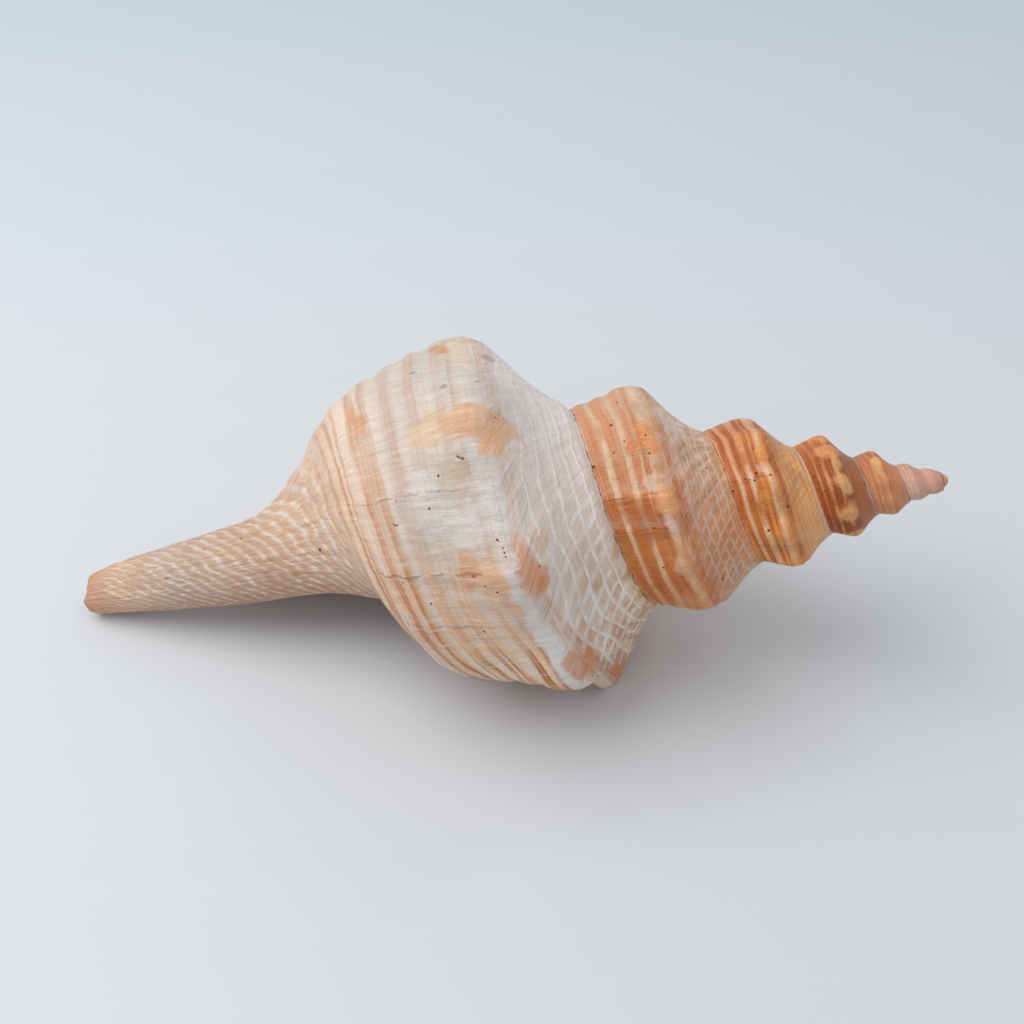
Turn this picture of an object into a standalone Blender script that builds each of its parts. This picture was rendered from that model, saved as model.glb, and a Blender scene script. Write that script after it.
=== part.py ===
"""Horse conch shell: one grown piece, lying on its side with the aperture down.

The shell is a helico-spiral.  A growth stage is counted in turns: 0 is the
outer lip, -1 is one whorl earlier.  Every whorl is the same cross-section
scaled by WHORL_GROWTH per turn about a point just past the apex.  The outside,
the lip, the siphonal groove and the hollow of the last whorls form one closed
skin.  Distances along the coiling axis ("down") run from that point to the
tip of the siphonal canal.  Metres, +Z up, apex towards +X.
"""
import math

import bmesh
import bpy
import numpy as np
from mathutils import Matrix, Vector

# ---------------------------------------------------------------- dimensions
NAME = "horse_conch_shell"

WHORL_GROWTH = 1.527          # size ratio from one whorl to the next
SUTURE_DOWN = 0.1086          # suture at the lip, from the coiling point
TIP_DOWN = 0.2404             # tip of the canal, from the coiling point
APEX_DOWN = 0.0052            # blunt apex, from the coiling point
LIP_ANGLE = math.radians(125.3)   # about the axis, from straight up to the back

AXIS_PITCH = math.radians(10.8)   # apex raised
AXIS_YAW = math.radians(-1.8)     # apex turned to the front

LIP_THICKNESS = 0.0024
WALL_THICKNESS = 0.0036
CALLUS = 0.0008               # shell laid on the whorl before
COLUMELLA = 0.088             # radius of the pillar in whorl scale
CHAMBER_TURNS = 2.25          # how far the hollow goes back

CANAL_BACK = 0.0005           # sideways bend of the canal at its tip
CANAL_DROP = 0.0100           # downward bend of the canal at its tip
CANAL_BEND_FROM = 0.164
GROOVE_SHARE = 0.125          # part of the circle that the groove takes

WORN_DEPTH = 0.00090          # worn flats where the shell touches the ground

SHOULDER = 1.245              # place of the shoulder in whorl scale
KNOB_LENGTH = 0.036           # half length of a knob, in turns

# ---------------------------------------------------------------- resolution
COLUMNS = 60                  # steps per turn
SPIRE_START = -6.1            # first turn modelled as a coil, a cone before it
WHORL_ROWS = (1.0, 1.018, 1.09, 1.175, 1.245, 1.33, 1.43, 1.527)
BASE_ROWS = (1.60, 1.66, 1.72)
CANAL_ROWS = (0.10, 0.20, 0.30, 0.42, 0.56, 0.70, 0.84, 0.94, 1.0)
GROOVE_FROM = 2               # canal row where the aperture ends
CHAMBER_STEPS = 52

# Cross-sections in whorl scale: (distance down, radius).
SPIRE_SECTION = ((1.0, .292), (1.018, .306), (1.05, .320), (1.11, .366), (1.17, .422),
                 (1.235, .464), (1.31, .468), (1.42, .460), (1.527, .446), (1.60, .40),
                 (1.70, .26), (1.80, .15), (1.90, .09), (2.05, .04), (2.4, .0))
EARLY_SECTION = ((1.0, .292), (1.018, .312), (1.05, .332), (1.11, .385), (1.17, .442),
                 (1.235, .478), (1.31, .492), (1.42, .497), (1.527, .490), (1.60, .477),
                 (1.70, .395), (1.80, .26), (1.88, .17), (2.0, .08), (2.4, .0))
LATE_SECTION = ((1.0, .292), (1.018, .316), (1.05, .337), (1.11, .384), (1.17, .436),
                (1.235, .466), (1.31, .482), (1.42, .478), (1.527, .446), (1.60, .412),
                (1.70, .328), (1.80, .20), (1.88, .13), (2.0, .06), (2.4, .0))
# Siphonal canal: (distance down in metres, radius in metres).
CANAL_SECTION = ((0.140, .0172), (0.152, .0158), (0.161, .0138), (0.170, .0120),
                 (0.181, .0111), (0.192, .0105), (0.203, .0095), (0.214, .0085),
                 (0.224, .0075), (0.234, .0063), (0.238, .0054), (0.2404, .0041))
# Knobs of the last two whorls: (growth stage, height in whorl scale).  The
# shell lies on PROP_KNOB, which is the longest and sits nearer the suture.
PROP_KNOB = (-0.768, .128)
PROP_SHOULDER = 1.222
KNOBS = ((-0.006, .070), (-0.108, .056), (-0.217, .052), (-0.361, .056), (-0.514, .066), (-0.665, .066),
         PROP_KNOB, (-0.878, .070), (-0.992, .055), (-1.106, .050), (-1.217, .050),
         (-1.350, .050), (-1.456, .050), (-1.556, .050), (-1.658, .050), (-1.767, .050),
         (-1.878, .048), (-1.990, .046), (-2.105, .044), (-2.217, .042))
SPIRE_KNOB_STEP = 0.111       # turns between the knobs before those


# ---------------------------------------------------------------- small maths
def ease(low, high, x):
    """Smooth step from 0 at low to 1 at high."""
    f = np.clip((np.asarray(x, float) - low) / (high - low), 0.0, 1.0)
    return f * f * (3.0 - 2.0 * f)


def mix(a, b, f):
    return a + (b - a) * f


def soft_max(a, b, width):
    """The larger of two values with a fillet where they cross."""
    h = np.clip(0.5 + 0.5 * (a - b) / width, 0.0, 1.0)
    return mix(b, a, h) + width * h * (1.0 - h)


def smooth_curve(points):
    """A curve through the points with no overshoot."""
    x = np.array([p[0] for p in points], float)
    y = np.array([p[1] for p in points], float)
    chord = np.diff(y) / np.diff(x)
    slope = np.zeros(len(x))
    slope[0] = chord[0]
    slope[-1] = chord[-1]
    for i in range(1, len(x) - 1):
        if chord[i - 1] * chord[i] > 0.0:
            slope[i] = 2.0 * chord[i - 1] * chord[i] / (chord[i - 1] + chord[i])

    def value(q):
        q = np.clip(np.asarray(q, float), x[0], x[-1])
        i = np.clip(np.searchsorted(x, q, side="right") - 1, 0, len(x) - 2)
        step = x[i + 1] - x[i]
        f = (q - x[i]) / step
        a = (1.0 + 2.0 * f) * (1.0 - f) ** 2 * y[i] + f * (1.0 - f) ** 2 * step * slope[i]
        b = f * f * (3.0 - 2.0 * f) * y[i + 1] + f * f * (f - 1.0) * step * slope[i + 1]
        return a + b

    return value


spire_section = smooth_curve(SPIRE_SECTION)
early_section = smooth_curve(EARLY_SECTION)
late_section = smooth_curve(LATE_SECTION)
canal_section = smooth_curve(CANAL_SECTION)


# ---------------------------------------------------------------- shell form
def scale_at(turn):
    """Distance down of the suture at a growth stage."""
    return SUTURE_DOWN * WHORL_GROWTH ** np.asarray(turn, float)


def all_knobs():
    knobs = list(KNOBS)
    turn = knobs[-1][0] - SPIRE_KNOB_STEP
    while turn > -7.5:
        height = 0.042 * float(np.clip((turn + 6.5) / 4.3, 0.15, 1.0))
        knobs.append((turn, height))
        turn -= SPIRE_KNOB_STEP
    return knobs


KNOB_LIST = all_knobs()


def knob_height(down, turn):
    """Blunt knobs on the shoulder, drawn out below it into short folds."""
    down, turn = np.broadcast_arrays(np.asarray(down, float), np.asarray(turn, float))
    total = np.zeros(down.shape)
    for knob in KNOB_LIST:
        middle = PROP_SHOULDER if knob == PROP_KNOB else SHOULDER
        above = 0.098 if knob == PROP_KNOB else 0.075
        spread = np.where(down < middle, above, 0.125)
        along = np.exp(-((turn - knob[0]) / KNOB_LENGTH) ** 2)
        total += knob[1] * along * np.exp(-((down - middle) / spread) ** 2)
    return total


def whorl_radius(down, turn):
    """Radius of a whorl, in whorl scale, with no canal."""
    late = ease(-0.62, -0.22, turn)
    spire = ease(-0.85, -1.25, turn)
    body = mix(early_section(down), late_section(down), late)
    return mix(body, spire_section(down), spire) + knob_height(down, turn)


def canal_share(down, turn):
    """0 at the base of the whorl, 1 at the tip of the canal."""
    start = BASE_ROWS[0] * scale_at(turn)
    return np.clip((down - start) / (TIP_DOWN - start), 0.0, 1.0)


def outer_radius(down, turn):
    """Outside radius in metres at a distance down in metres."""
    scale = scale_at(turn)
    whorl = whorl_radius(down / scale, turn) * scale
    pillar = 1.0 - 0.36 * ease(-0.80, -1.0, turn) * ease(0.195, 0.160, down)
    canal = canal_section(down) * pillar * ease(0.100, 0.145, down)
    return soft_max(whorl, canal * ease(1.40, 1.66, down / scale), 0.0062)


def place(down, radius, turn, groove=0.0):
    """Point at a distance down and a radius; groove turns it past the lip."""
    share = GROOVE_SHARE * ease(0.0, 0.30, canal_share(down, turn))
    angle = LIP_ANGLE + 2.0 * math.pi * (np.asarray(turn) * (1.0 - share) + groove)
    bend = np.clip((down - CANAL_BEND_FROM) / (TIP_DOWN - CANAL_BEND_FROM), 0.0, None) ** 1.4
    y = radius * np.sin(angle) + CANAL_BACK * bend
    z = radius * np.cos(angle) - CANAL_DROP * bend
    return np.stack(np.broadcast_arrays(-down, y, z), axis=-1)


def row_down(row, turn):
    """Distance down of a row of the outside at a growth stage."""
    scale = float(scale_at(turn))
    fixed = WHORL_ROWS + BASE_ROWS
    if row < len(fixed):
        return fixed[row] * scale
    start = fixed[-1] * scale
    return mix(start, TIP_DOWN, CANAL_ROWS[row - len(fixed)])


# ---------------------------------------------------------------- skin
LAST_WHORL_ROW = len(WHORL_ROWS) - 1
GROOVE_ROW = len(WHORL_ROWS) + len(BASE_ROWS) + GROOVE_FROM
TIP_ROW = len(WHORL_ROWS) + len(BASE_ROWS) + len(CANAL_ROWS) - 1


class Skin:
    """Collects vertices and faces of the closed skin."""

    def __init__(self):
        self.mesh = bmesh.new()

    def vertex(self, point):
        return self.mesh.verts.new(Vector([float(c) for c in point]))

    def face(self, *verts):
        unique = []
        for vert in verts:
            if vert not in unique:
                unique.append(vert)
        if len(unique) > 2:
            self.mesh.faces.new(unique)

    def strip(self, first, second):
        """Faces between two rows of vertices of the same length."""
        for i in range(len(first) - 1):
            self.face(first[i], first[i + 1], second[i + 1], second[i])


def build_outside(skin):
    """Coil from the apex cone to the lip; returns the vertex columns."""
    first = round(SPIRE_START * COLUMNS)
    turns = {i: i / COLUMNS for i in range(first, 1)}
    ring_down = WHORL_GROWTH * float(scale_at(SPIRE_START))
    ring_radius = float(spire_section(WHORL_GROWTH)) * float(scale_at(SPIRE_START))
    columns = {}
    ring = []

    def top_vertex(i):
        if i - COLUMNS in columns:
            return columns[i - COLUMNS][LAST_WHORL_ROW]
        vert = skin.vertex(place(ring_down, ring_radius, turns[i]))
        ring.append(vert)
        return vert

    for i in range(first, 1):
        turn = turns[i]
        top = top_vertex(i)
        column = [top]
        rows = TIP_ROW if i >= -COLUMNS else LAST_WHORL_ROW
        if i == first:
            columns[i] = [top] * (rows + 1)
            continue
        grown = min((i - first) / COLUMNS, 1.0)
        for row in range(1, rows + 1):
            down = row_down(row, turn)
            radius = float(outer_radius(down, turn))
            if grown < 1.0:
                low = row_down(LAST_WHORL_ROW, turn)
                f = row / LAST_WHORL_ROW
                down = mix(ring_down, low, f)
                low_radius = float(outer_radius(low, turn))
                bulge = 0.05 * float(scale_at(turn)) * grown * math.sin(math.pi * f)
                radius = mix(ring_radius, low_radius, f) + bulge
            column.append(skin.vertex(place(down, radius, turn)))
        columns[i] = column
    for i in range(first, 0):
        here, there = columns[i], columns[i + 1]
        count = min(len(here), len(there))
        skin.strip(here[:count], there[:count])
    return columns, ring


def build_apex(skin, ring):
    """Rounded cone over the first ring."""
    down = WHORL_GROWTH * float(scale_at(SPIRE_START))
    radius = float(spire_section(WHORL_GROWTH)) * float(scale_at(SPIRE_START))
    before = ring
    for share, width in ((0.36, 0.74), (0.74, 0.42), (0.94, 0.20)):
        now = []
        for i in range(len(ring)):
            turn = SPIRE_START + i / COLUMNS
            now.append(skin.vertex(place(mix(down, APEX_DOWN, share), radius * width, turn)))
        skin.strip(now + now[:1], before + before[:1])
        before = now
    tip = skin.vertex(place(APEX_DOWN, 0.0, SPIRE_START))
    for i in range(len(before)):
        skin.face(tip, before[i], before[(i + 1) % len(before)])


def build_groove(skin, columns):
    """Lip rim, open groove under the canal and the closed tip."""
    lip, pillar = columns[0], columns[-COLUMNS]
    rims = {}
    walls = {}
    for row in range(1, TIP_ROW + 1):
        down = row_down(row, 0.0)
        radius = float(outer_radius(down, 0.0))
        thick = min(LIP_THICKNESS, 0.42 * radius)
        rims[row] = skin.vertex(place(down, radius - thick, 0.0))
    rims[0] = lip[0]
    for row in range(GROOVE_ROW, TIP_ROW + 1):
        down_lip, down_pillar = row_down(row, 0.0), row_down(row, -1.0)
        share = GROOVE_SHARE * float(ease(0.0, 0.30, canal_share(down_lip, 0.0)))
        floor = 0.0028 if row < TIP_ROW else 0.0016
        side = 0.55 * float(outer_radius(down_pillar, -1.0))
        points = []
        for f, radius in ((0.35, floor), (0.72, mix(floor, side, 0.45))):
            down = mix(down_lip, down_pillar, f)
            points.append(skin.vertex(place(down, radius, 0.0, groove=share * f)))
        walls[row] = points
    for row in range(TIP_ROW):
        skin.face(lip[row], lip[row + 1], rims[row + 1], rims[row])
    for row in range(GROOVE_ROW, TIP_ROW):
        here = [rims[row]] + walls[row] + [pillar[row]]
        there = [rims[row + 1]] + walls[row + 1] + [pillar[row + 1]]
        skin.strip(there, here)
    loop = []
    for i in range(-COLUMNS, 1):
        loop.append(columns[i][TIP_ROW])
    loop.append(rims[TIP_ROW])
    loop.extend(walls[TIP_ROW])
    centre = skin.vertex(place(TIP_DOWN + 0.0012, 0.0, 0.0))
    for i in range(len(loop)):
        skin.face(loop[i], centre, loop[(i + 1) % len(loop)])
    mouth = [rims[row] for row in range(GROOVE_ROW + 1)]
    mouth.extend(walls[GROOVE_ROW])
    mouth.extend(pillar[row] for row in range(GROOVE_ROW, LAST_WHORL_ROW, -1))
    return mouth


def chamber_section(depth, count_out, count_floor, count_in):
    """Loop of (distance down, radius) of the hollow, depth turns behind the lip."""
    turn = -depth
    scale = float(scale_at(turn))
    g = scale / SUTURE_DOWN
    deep = float(ease(0.0, 0.35, depth))
    wall = mix(LIP_THICKNESS, WALL_THICKNESS * g ** 0.6, deep)
    callus = CALLUS * float(ease(0.0, 0.06, depth))
    top = mix(1.0, 1.055, float(ease(0.0, 0.05, depth))) * scale
    mouth_low = row_down(GROOVE_ROW, 0.0)
    mouth_in = row_down(GROOVE_ROW, -1.0)
    low = mix(mouth_low, 1.80 * scale, deep)
    low_in = mix(mouth_in, 1.66 * scale, deep)
    outer, floor, inner = [], [], []

    def outside(down):
        bare = float(whorl_radius(down / scale, turn)) * scale
        return mix(float(outer_radius(down, turn)), bare, deep) - wall

    def inside(down):
        before = turn - 1.0
        older = float(scale_at(before))
        whorl = float(whorl_radius(down / older, before)) * older
        full = float(outer_radius(down, before))
        bare = float(soft_max(whorl, COLUMELLA * scale, 0.004))
        return mix(full, bare, deep) + callus

    for i in range(count_out):
        f = i / (count_out - 1)
        down = mix(top, low, f ** 1.15)
        outer.append((down, outside(down)))
    for i in range(count_in):
        f = i / count_in
        down = mix(low_in, top, f ** 0.85)
        inner.append((down, inside(down)))
    for i in range(1, count_floor + 1):
        f = i / (count_floor + 1)
        a, b = outer[-1], inner[0]
        dip = 0.05 * scale * math.sin(math.pi * f) * deep
        floor.append((mix(a[0], b[0], f) + dip, mix(a[1], b[1], f)))
    corner_in = inside(top)
    if outer[0][1] < corner_in + 0.0004:
        outer[0] = (outer[0][0], corner_in + 0.0004)
    return outer + floor + inner


def build_chamber(skin, mouth):
    """Hollow of the last whorls, swept back from the aperture."""
    count_out = GROOVE_ROW + 1
    count_in = GROOVE_ROW - LAST_WHORL_ROW
    count_floor = len(mouth) - count_out - count_in
    before = mouth
    for step in range(1, CHAMBER_STEPS + 1):
        depth = CHAMBER_TURNS * (step / CHAMBER_STEPS) ** 1.12
        loop = chamber_section(depth, count_out, count_floor, count_in)
        middle = np.mean(np.array(loop), axis=0)
        close = float(ease(CHAMBER_TURNS - 0.14, CHAMBER_TURNS, depth)) * 0.62
        now = []
        for down, radius in loop:
            down = mix(down, middle[0], close)
            radius = mix(radius, middle[1], close)
            now.append(skin.vertex(place(np.array(down), radius, -depth)))
        skin.strip(before + before[:1], now + now[:1])
        before = now
    last = CHAMBER_TURNS + 0.012
    middle = np.mean(np.array(chamber_section(last, count_out, count_floor, count_in)), axis=0)
    end = skin.vertex(place(np.array(middle[0]), middle[1], -last))
    for i in range(len(before)):
        skin.face(before[i], before[(i + 1) % len(before)], end)


def rest_on_ground(mesh):
    """Turn the shell to the way it lies and wear flats where it touches."""
    turn = Matrix.Rotation(AXIS_YAW, 4, "Z") @ Matrix.Rotation(-AXIS_PITCH, 4, "Y")
    bmesh.ops.transform(mesh, matrix=turn, verts=mesh.verts)
    ground = min(vert.co.z for vert in mesh.verts) + WORN_DEPTH
    geometry = mesh.verts[:] + mesh.edges[:] + mesh.faces[:]
    cut = bmesh.ops.bisect_plane(mesh, geom=geometry, dist=0.00012,
                                 plane_co=(0.0, 0.0, ground), plane_no=(0.0, 0.0, -1.0),
                                 clear_outer=True)
    edges = [item for item in cut["geom_cut"] if isinstance(item, bmesh.types.BMEdge)]
    bmesh.ops.holes_fill(mesh, edges=edges, sides=0)
    for vert in mesh.verts:
        if abs(vert.co.z - ground) < 0.00013:
            vert.co.z = ground
    low = [min(vert.co[k] for vert in mesh.verts) for k in range(3)]
    high = [max(vert.co[k] for vert in mesh.verts) for k in range(3)]
    shift = Vector((-(low[0] + high[0]) / 2.0, -(low[1] + high[1]) / 2.0, -ground))
    bmesh.ops.translate(mesh, vec=shift, verts=mesh.verts)


def shell_material():
    material = bpy.data.materials.new("shell")
    material.use_nodes = True
    surface = material.node_tree.nodes["Principled BSDF"]
    surface.inputs["Base Color"].default_value = (0.60, 0.42, 0.28, 1.0)
    surface.inputs["Roughness"].default_value = 0.42
    surface.inputs["Metallic"].default_value = 0.0
    return material


def main():
    for item in list(bpy.data.objects):
        bpy.data.objects.remove(item, do_unlink=True)
    collection = bpy.data.collections.new("horse_conch")
    bpy.context.scene.collection.children.link(collection)

    skin = Skin()
    columns, ring = build_outside(skin)
    build_apex(skin, ring)
    mouth = build_groove(skin, columns)
    build_chamber(skin, mouth)
    bmesh.ops.recalc_face_normals(skin.mesh, faces=skin.mesh.faces)
    rest_on_ground(skin.mesh)
    bmesh.ops.triangulate(skin.mesh, faces=skin.mesh.faces)

    mesh = bpy.data.meshes.new(NAME)
    skin.mesh.to_mesh(mesh)
    skin.mesh.free()
    mesh.shade_smooth()
    mesh.set_sharp_from_angle(angle=math.radians(50.0))
    mesh.materials.append(shell_material())
    shell = bpy.data.objects.new(NAME, mesh)
    collection.objects.link(shell)


if __name__ == "__main__":
    main()
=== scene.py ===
"""Horse conch shell, dressed: the grown coil, its ribs, scars, bore holes and colours, and the stage.

Laid out as an add-on and run as a script.  The shell is drawn as a flat sheet in growth
coordinates (stage in turns, distance down and radius in whorl scale); a node tree winds
the sheet into the shell and adds the low relief.  Metres, +Z up, apex towards +X.
"""
import math

import bmesh
import bpy
import numpy as np
from bpy.props import FloatProperty, FloatVectorProperty, IntProperty, PointerProperty
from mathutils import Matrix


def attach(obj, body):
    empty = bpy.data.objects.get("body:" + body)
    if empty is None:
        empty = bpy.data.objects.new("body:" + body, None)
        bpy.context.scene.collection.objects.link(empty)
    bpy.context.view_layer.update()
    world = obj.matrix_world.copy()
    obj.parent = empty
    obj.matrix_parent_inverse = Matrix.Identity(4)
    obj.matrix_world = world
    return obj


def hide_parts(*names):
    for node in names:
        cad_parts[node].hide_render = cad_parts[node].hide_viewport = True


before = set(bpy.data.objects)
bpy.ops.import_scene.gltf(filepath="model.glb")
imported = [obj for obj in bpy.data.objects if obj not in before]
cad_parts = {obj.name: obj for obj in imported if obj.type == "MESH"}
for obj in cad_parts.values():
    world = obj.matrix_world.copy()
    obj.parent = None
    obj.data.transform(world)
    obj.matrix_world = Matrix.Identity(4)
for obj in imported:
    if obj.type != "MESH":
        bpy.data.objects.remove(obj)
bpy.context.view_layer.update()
NODE = "horse_conch_shell"
BODY = "root"

bl_info = {
    "name": "Horse conch shell",
    "version": (1, 0, 0),
    "blender": (4, 5, 0),
    "location": "View3D > Sidebar > Horse conch",
    "description": "Grows a horse conch shell with its ribs, scars and colours, and lights it on a plain floor",
    "category": "Add Mesh",
}

# ---------------------------------------------------------------- growth of the shell
GROWTH = 1.527                # size ratio from one whorl to the next
SUTURE_DOWN = 0.1086          # suture at the lip, from the coiling point
TIP_DOWN = 0.2404             # tip of the canal
APEX_DOWN = 0.0050
APEX_TAPER = 0.13
LIP_ANGLE = math.radians(125.3)
AXIS_PITCH = math.radians(10.8)
AXIS_YAW = math.radians(-1.8)
COIL_POINT = (0.120189, -0.009783, 0.058511)

LIP_THICKNESS = 0.0024
WALL_THICKNESS = 0.0036
CALLUS = 0.0008
COLUMELLA = 0.088
CHAMBER_TURNS = 2.25
CHAMBER_STEPS = 72
CANAL_SWAY = 0.0005
CANAL_DROP = 0.0092
CANAL_BEND_POWER = 1.15
CANAL_BEND_FROM = 0.164
GROOVE_SHARE = 0.125
BASE_FROM = 1.60
SHOULDER = 1.245
KNOB_LENGTH = 0.044
SPIRE_KNOB_LENGTH = 0.038
RIB_SPACING = 0.076
LINE_SLANT = 0.48             # growth lines trail by this share of the whorl-scale distance
LINE_SLANT_UNTIL = 1.24

COLUMNS = 240                 # steps per turn
SPIRE_START = -7.8
COARSE_UNTIL = -3.0           # whorls before this take every third row
COARSE = 3


# Cross-sections in whorl scale: (distance down, radius).
SPIRE_SECTION = ((1.0, .292), (1.018, .306), (1.05, .323), (1.11, .370), (1.17, .420),
                 (1.235, .456), (1.31, .470), (1.42, .465), (1.527, .446), (1.60, .40),
                 (1.70, .26), (1.80, .15), (1.90, .09), (2.05, .04), (2.4, .0))
EARLY_SECTION = ((1.0, .292), (1.018, .312), (1.05, .332), (1.11, .385), (1.17, .442),
                 (1.235, .478), (1.31, .492), (1.42, .497), (1.527, .490), (1.60, .477),
                 (1.70, .395), (1.80, .26), (1.88, .17), (2.0, .08), (2.4, .0))
LATE_SECTION = ((1.0, .292), (1.018, .316), (1.05, .337), (1.11, .384), (1.17, .436),
                (1.235, .466), (1.31, .482), (1.42, .478), (1.527, .446), (1.60, .412),
                (1.70, .328), (1.80, .20), (1.88, .13), (2.0, .06), (2.4, .0))
# Siphonal canal: (distance down in metres, radius in metres).
CANAL_SECTION = ((0.140, .0172), (0.152, .0158), (0.161, .0138), (0.170, .0120),
                 (0.181, .0115), (0.192, .0111), (0.203, .0102), (0.214, .0091),
                 (0.224, .0078), (0.234, .0066), (0.238, .0060), (0.2404, .0052))
# Knobs: (growth stage, height in whorl scale).
PROP_KNOB = (-0.768, .128)
PROP_SHOULDER = 1.222
KNOBS = ((-0.006, .070), (-0.108, .056), (-0.217, .052), (-0.361, .056), (-0.514, .066), (-0.665, .066),
         PROP_KNOB, (-0.878, .070), (-0.992, .055), (-1.106, .050), (-1.217, .050),
         (-1.350, .050), (-1.456, .050), (-1.556, .050), (-1.658, .050), (-1.767, .050),
         (-1.878, .048), (-1.990, .046), (-2.105, .044), (-2.217, .042))
SPIRE_KNOB_STEP = 0.111
# Healed breaks of the lip: (growth stage, depth share).
SCARS = ((-0.319, .45), (-0.391, .8), (-0.445, .45), (-0.83, .5), (-1.12, .5), (-1.285, .5),
         (-1.334, .9), (-1.382, .9), (-1.476, .35), (-1.72, .5), (-1.93, .6), (-2.31, .6),
         (-2.47, .6), (-2.62, .5), (-2.88, .5))


# ---------------------------------------------------------------- small maths
def ease(low, high, x):
    """Smooth step from 0 at low to 1 at high."""
    f = np.clip((np.asarray(x, float) - low) / (high - low), 0.0, 1.0)
    return f * f * (3.0 - 2.0 * f)


def mix(a, b, f):
    return a + (b - a) * f


def bell(x, middle, width):
    return np.exp(-((x - middle) / width) ** 2)


def soft_max(a, b, width):
    """The larger of two values with a fillet where they cross."""
    h = np.clip(0.5 + 0.5 * (a - b) / width, 0.0, 1.0)
    return mix(b, a, h) + width * h * (1.0 - h)


def smooth_curve(points):
    """A curve through the points with no overshoot."""
    x, y = np.array(points, float).T
    chord = np.diff(y) / np.diff(x)
    slope = np.concatenate([chord[:1], np.zeros(len(x) - 2), chord[-1:]])
    for i in range(1, len(x) - 1):
        if chord[i - 1] * chord[i] > 0.0:
            slope[i] = 2.0 * chord[i - 1] * chord[i] / (chord[i - 1] + chord[i])

    def value(q):
        q = np.clip(np.asarray(q, float), x[0], x[-1])
        i = np.clip(np.searchsorted(x, q, side="right") - 1, 0, len(x) - 2)
        step = x[i + 1] - x[i]
        f = (q - x[i]) / step
        a = (1.0 + 2.0 * f) * (1.0 - f) ** 2 * y[i] + f * (1.0 - f) ** 2 * step * slope[i]
        return a + f * f * (3.0 - 2.0 * f) * y[i + 1] + f * f * (f - 1.0) * step * slope[i + 1]

    return value


def drift(x, step, seed):
    """Smooth irregular wander between -1 and 1 along x."""
    table = np.random.default_rng(seed).uniform(-1.0, 1.0, 1024)
    f = np.asarray(x, float) / step
    cell = np.floor(f).astype(int)
    return mix(table[cell % 1024], table[(cell + 1) % 1024], ease(0.0, 1.0, f - cell))


spire_section = smooth_curve(SPIRE_SECTION)
early_section = smooth_curve(EARLY_SECTION)
late_section = smooth_curve(LATE_SECTION)
canal_section = smooth_curve(CANAL_SECTION)


# ---------------------------------------------------------------- shell form
def scale_at(turn):
    return SUTURE_DOWN * GROWTH ** turn


def all_knobs():
    knobs = list(KNOBS)
    turn = knobs[-1][0] - SPIRE_KNOB_STEP
    while turn > -7.5:
        rise = 0.034 * math.exp(-((turn + 3.2) / 1.3) ** 2)
        knobs.append((turn, (0.040 + rise) * float(np.clip((turn + 6.8) / 2.6, 0.1, 1.0))))
        turn -= SPIRE_KNOB_STEP
    return knobs


KNOB_LIST = all_knobs()


def knob_height(down, turn):
    """Blunt knobs on the shoulder, drawn out below it into short folds."""
    total = 0.0 * down
    for knob in KNOB_LIST:
        if abs(knob[0] - turn) > 0.2:
            continue
        middle = PROP_SHOULDER if knob == PROP_KNOB else SHOULDER
        early = ease(-1.1, -1.5, knob[0])
        above = 0.098 if knob == PROP_KNOB else mix(0.090, 0.082, early)
        spread = np.where(down < middle, above, mix(0.145, 0.190, early))
        along = bell(turn, knob[0], mix(KNOB_LENGTH, SPIRE_KNOB_LENGTH, early))
        total = total + knob[1] * along * bell(down, middle, spread)
    return total


def whorl_radius(down, turn):
    """Radius of a whorl, in whorl scale, with no canal."""
    body = mix(early_section(down), late_section(down), ease(-0.62, -0.22, turn))
    return mix(body, spire_section(down), ease(-0.85, -1.25, turn)) + knob_height(down, turn)


def canal_share(down, turn):
    """0 at the base of the whorl, 1 at the tip of the canal."""
    start = BASE_FROM * scale_at(turn)
    return np.clip((down - start) / (TIP_DOWN - start), 0.0, 1.0)


def outer_radius(down, turn):
    """Outside radius in metres at a distance down in metres."""
    scale = scale_at(turn)
    whorl = whorl_radius(down / scale, turn) * scale * (1.0 - APEX_TAPER * ease(-4.6, -5.6, turn))
    pillar = 1.0 - 0.36 * ease(-0.80, -1.0, turn) * ease(0.195, 0.160, down)
    canal = canal_section(down) * pillar * ease(0.100, 0.145, down)
    return soft_max(whorl, canal * ease(1.40, 1.66, down / scale), 0.0062)


def suture_wander(turn):
    """How far the suture wanders from its even spiral, as a share of the distance down."""
    wander = 0.0034 * drift(turn, 0.075, 5) + 0.0026 * drift(turn, 0.014, 6)
    return wander * ease(0.0, -0.05, turn) * ease(-7.0, -4.0, turn)


def worn_tip(down, turn):
    """Distance down with the ragged wear of the canal's tip."""
    wear = 0.0012 + 0.0011 * drift(turn, 0.15, 41) + 0.00035 * drift(turn, 0.05, 43)
    return down - wear * ease(0.215, TIP_DOWN, down)


def lip_wave(row):
    """Waves that the ribs leave along the lip."""
    return 0.0010 * np.cos(2.0 * math.pi * row / RIB_SPACING)


# ---------------------------------------------------------------- rows of the sheet
WHORL_ROWS = np.concatenate([(1.0, 1.0016, 1.0036, 1.0062, 1.0095, 1.014, 1.020),
                             np.linspace(1.029, GROWTH - 0.010, 45), (GROWTH - 0.0045, GROWTH - 0.0016, GROWTH)])
FIXED_ROWS = np.concatenate([WHORL_ROWS, np.linspace(GROWTH, 1.72, 15)[1:]])
CANAL_ROWS = np.linspace(0.0, 1.0, 83)[1:] ** 0.96
LAST_WHORL_ROW = len(WHORL_ROWS) - 1
GROOVE_ROW = len(FIXED_ROWS) + 23
TIP_ROW = len(FIXED_ROWS) + len(CANAL_ROWS) - 1


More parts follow.
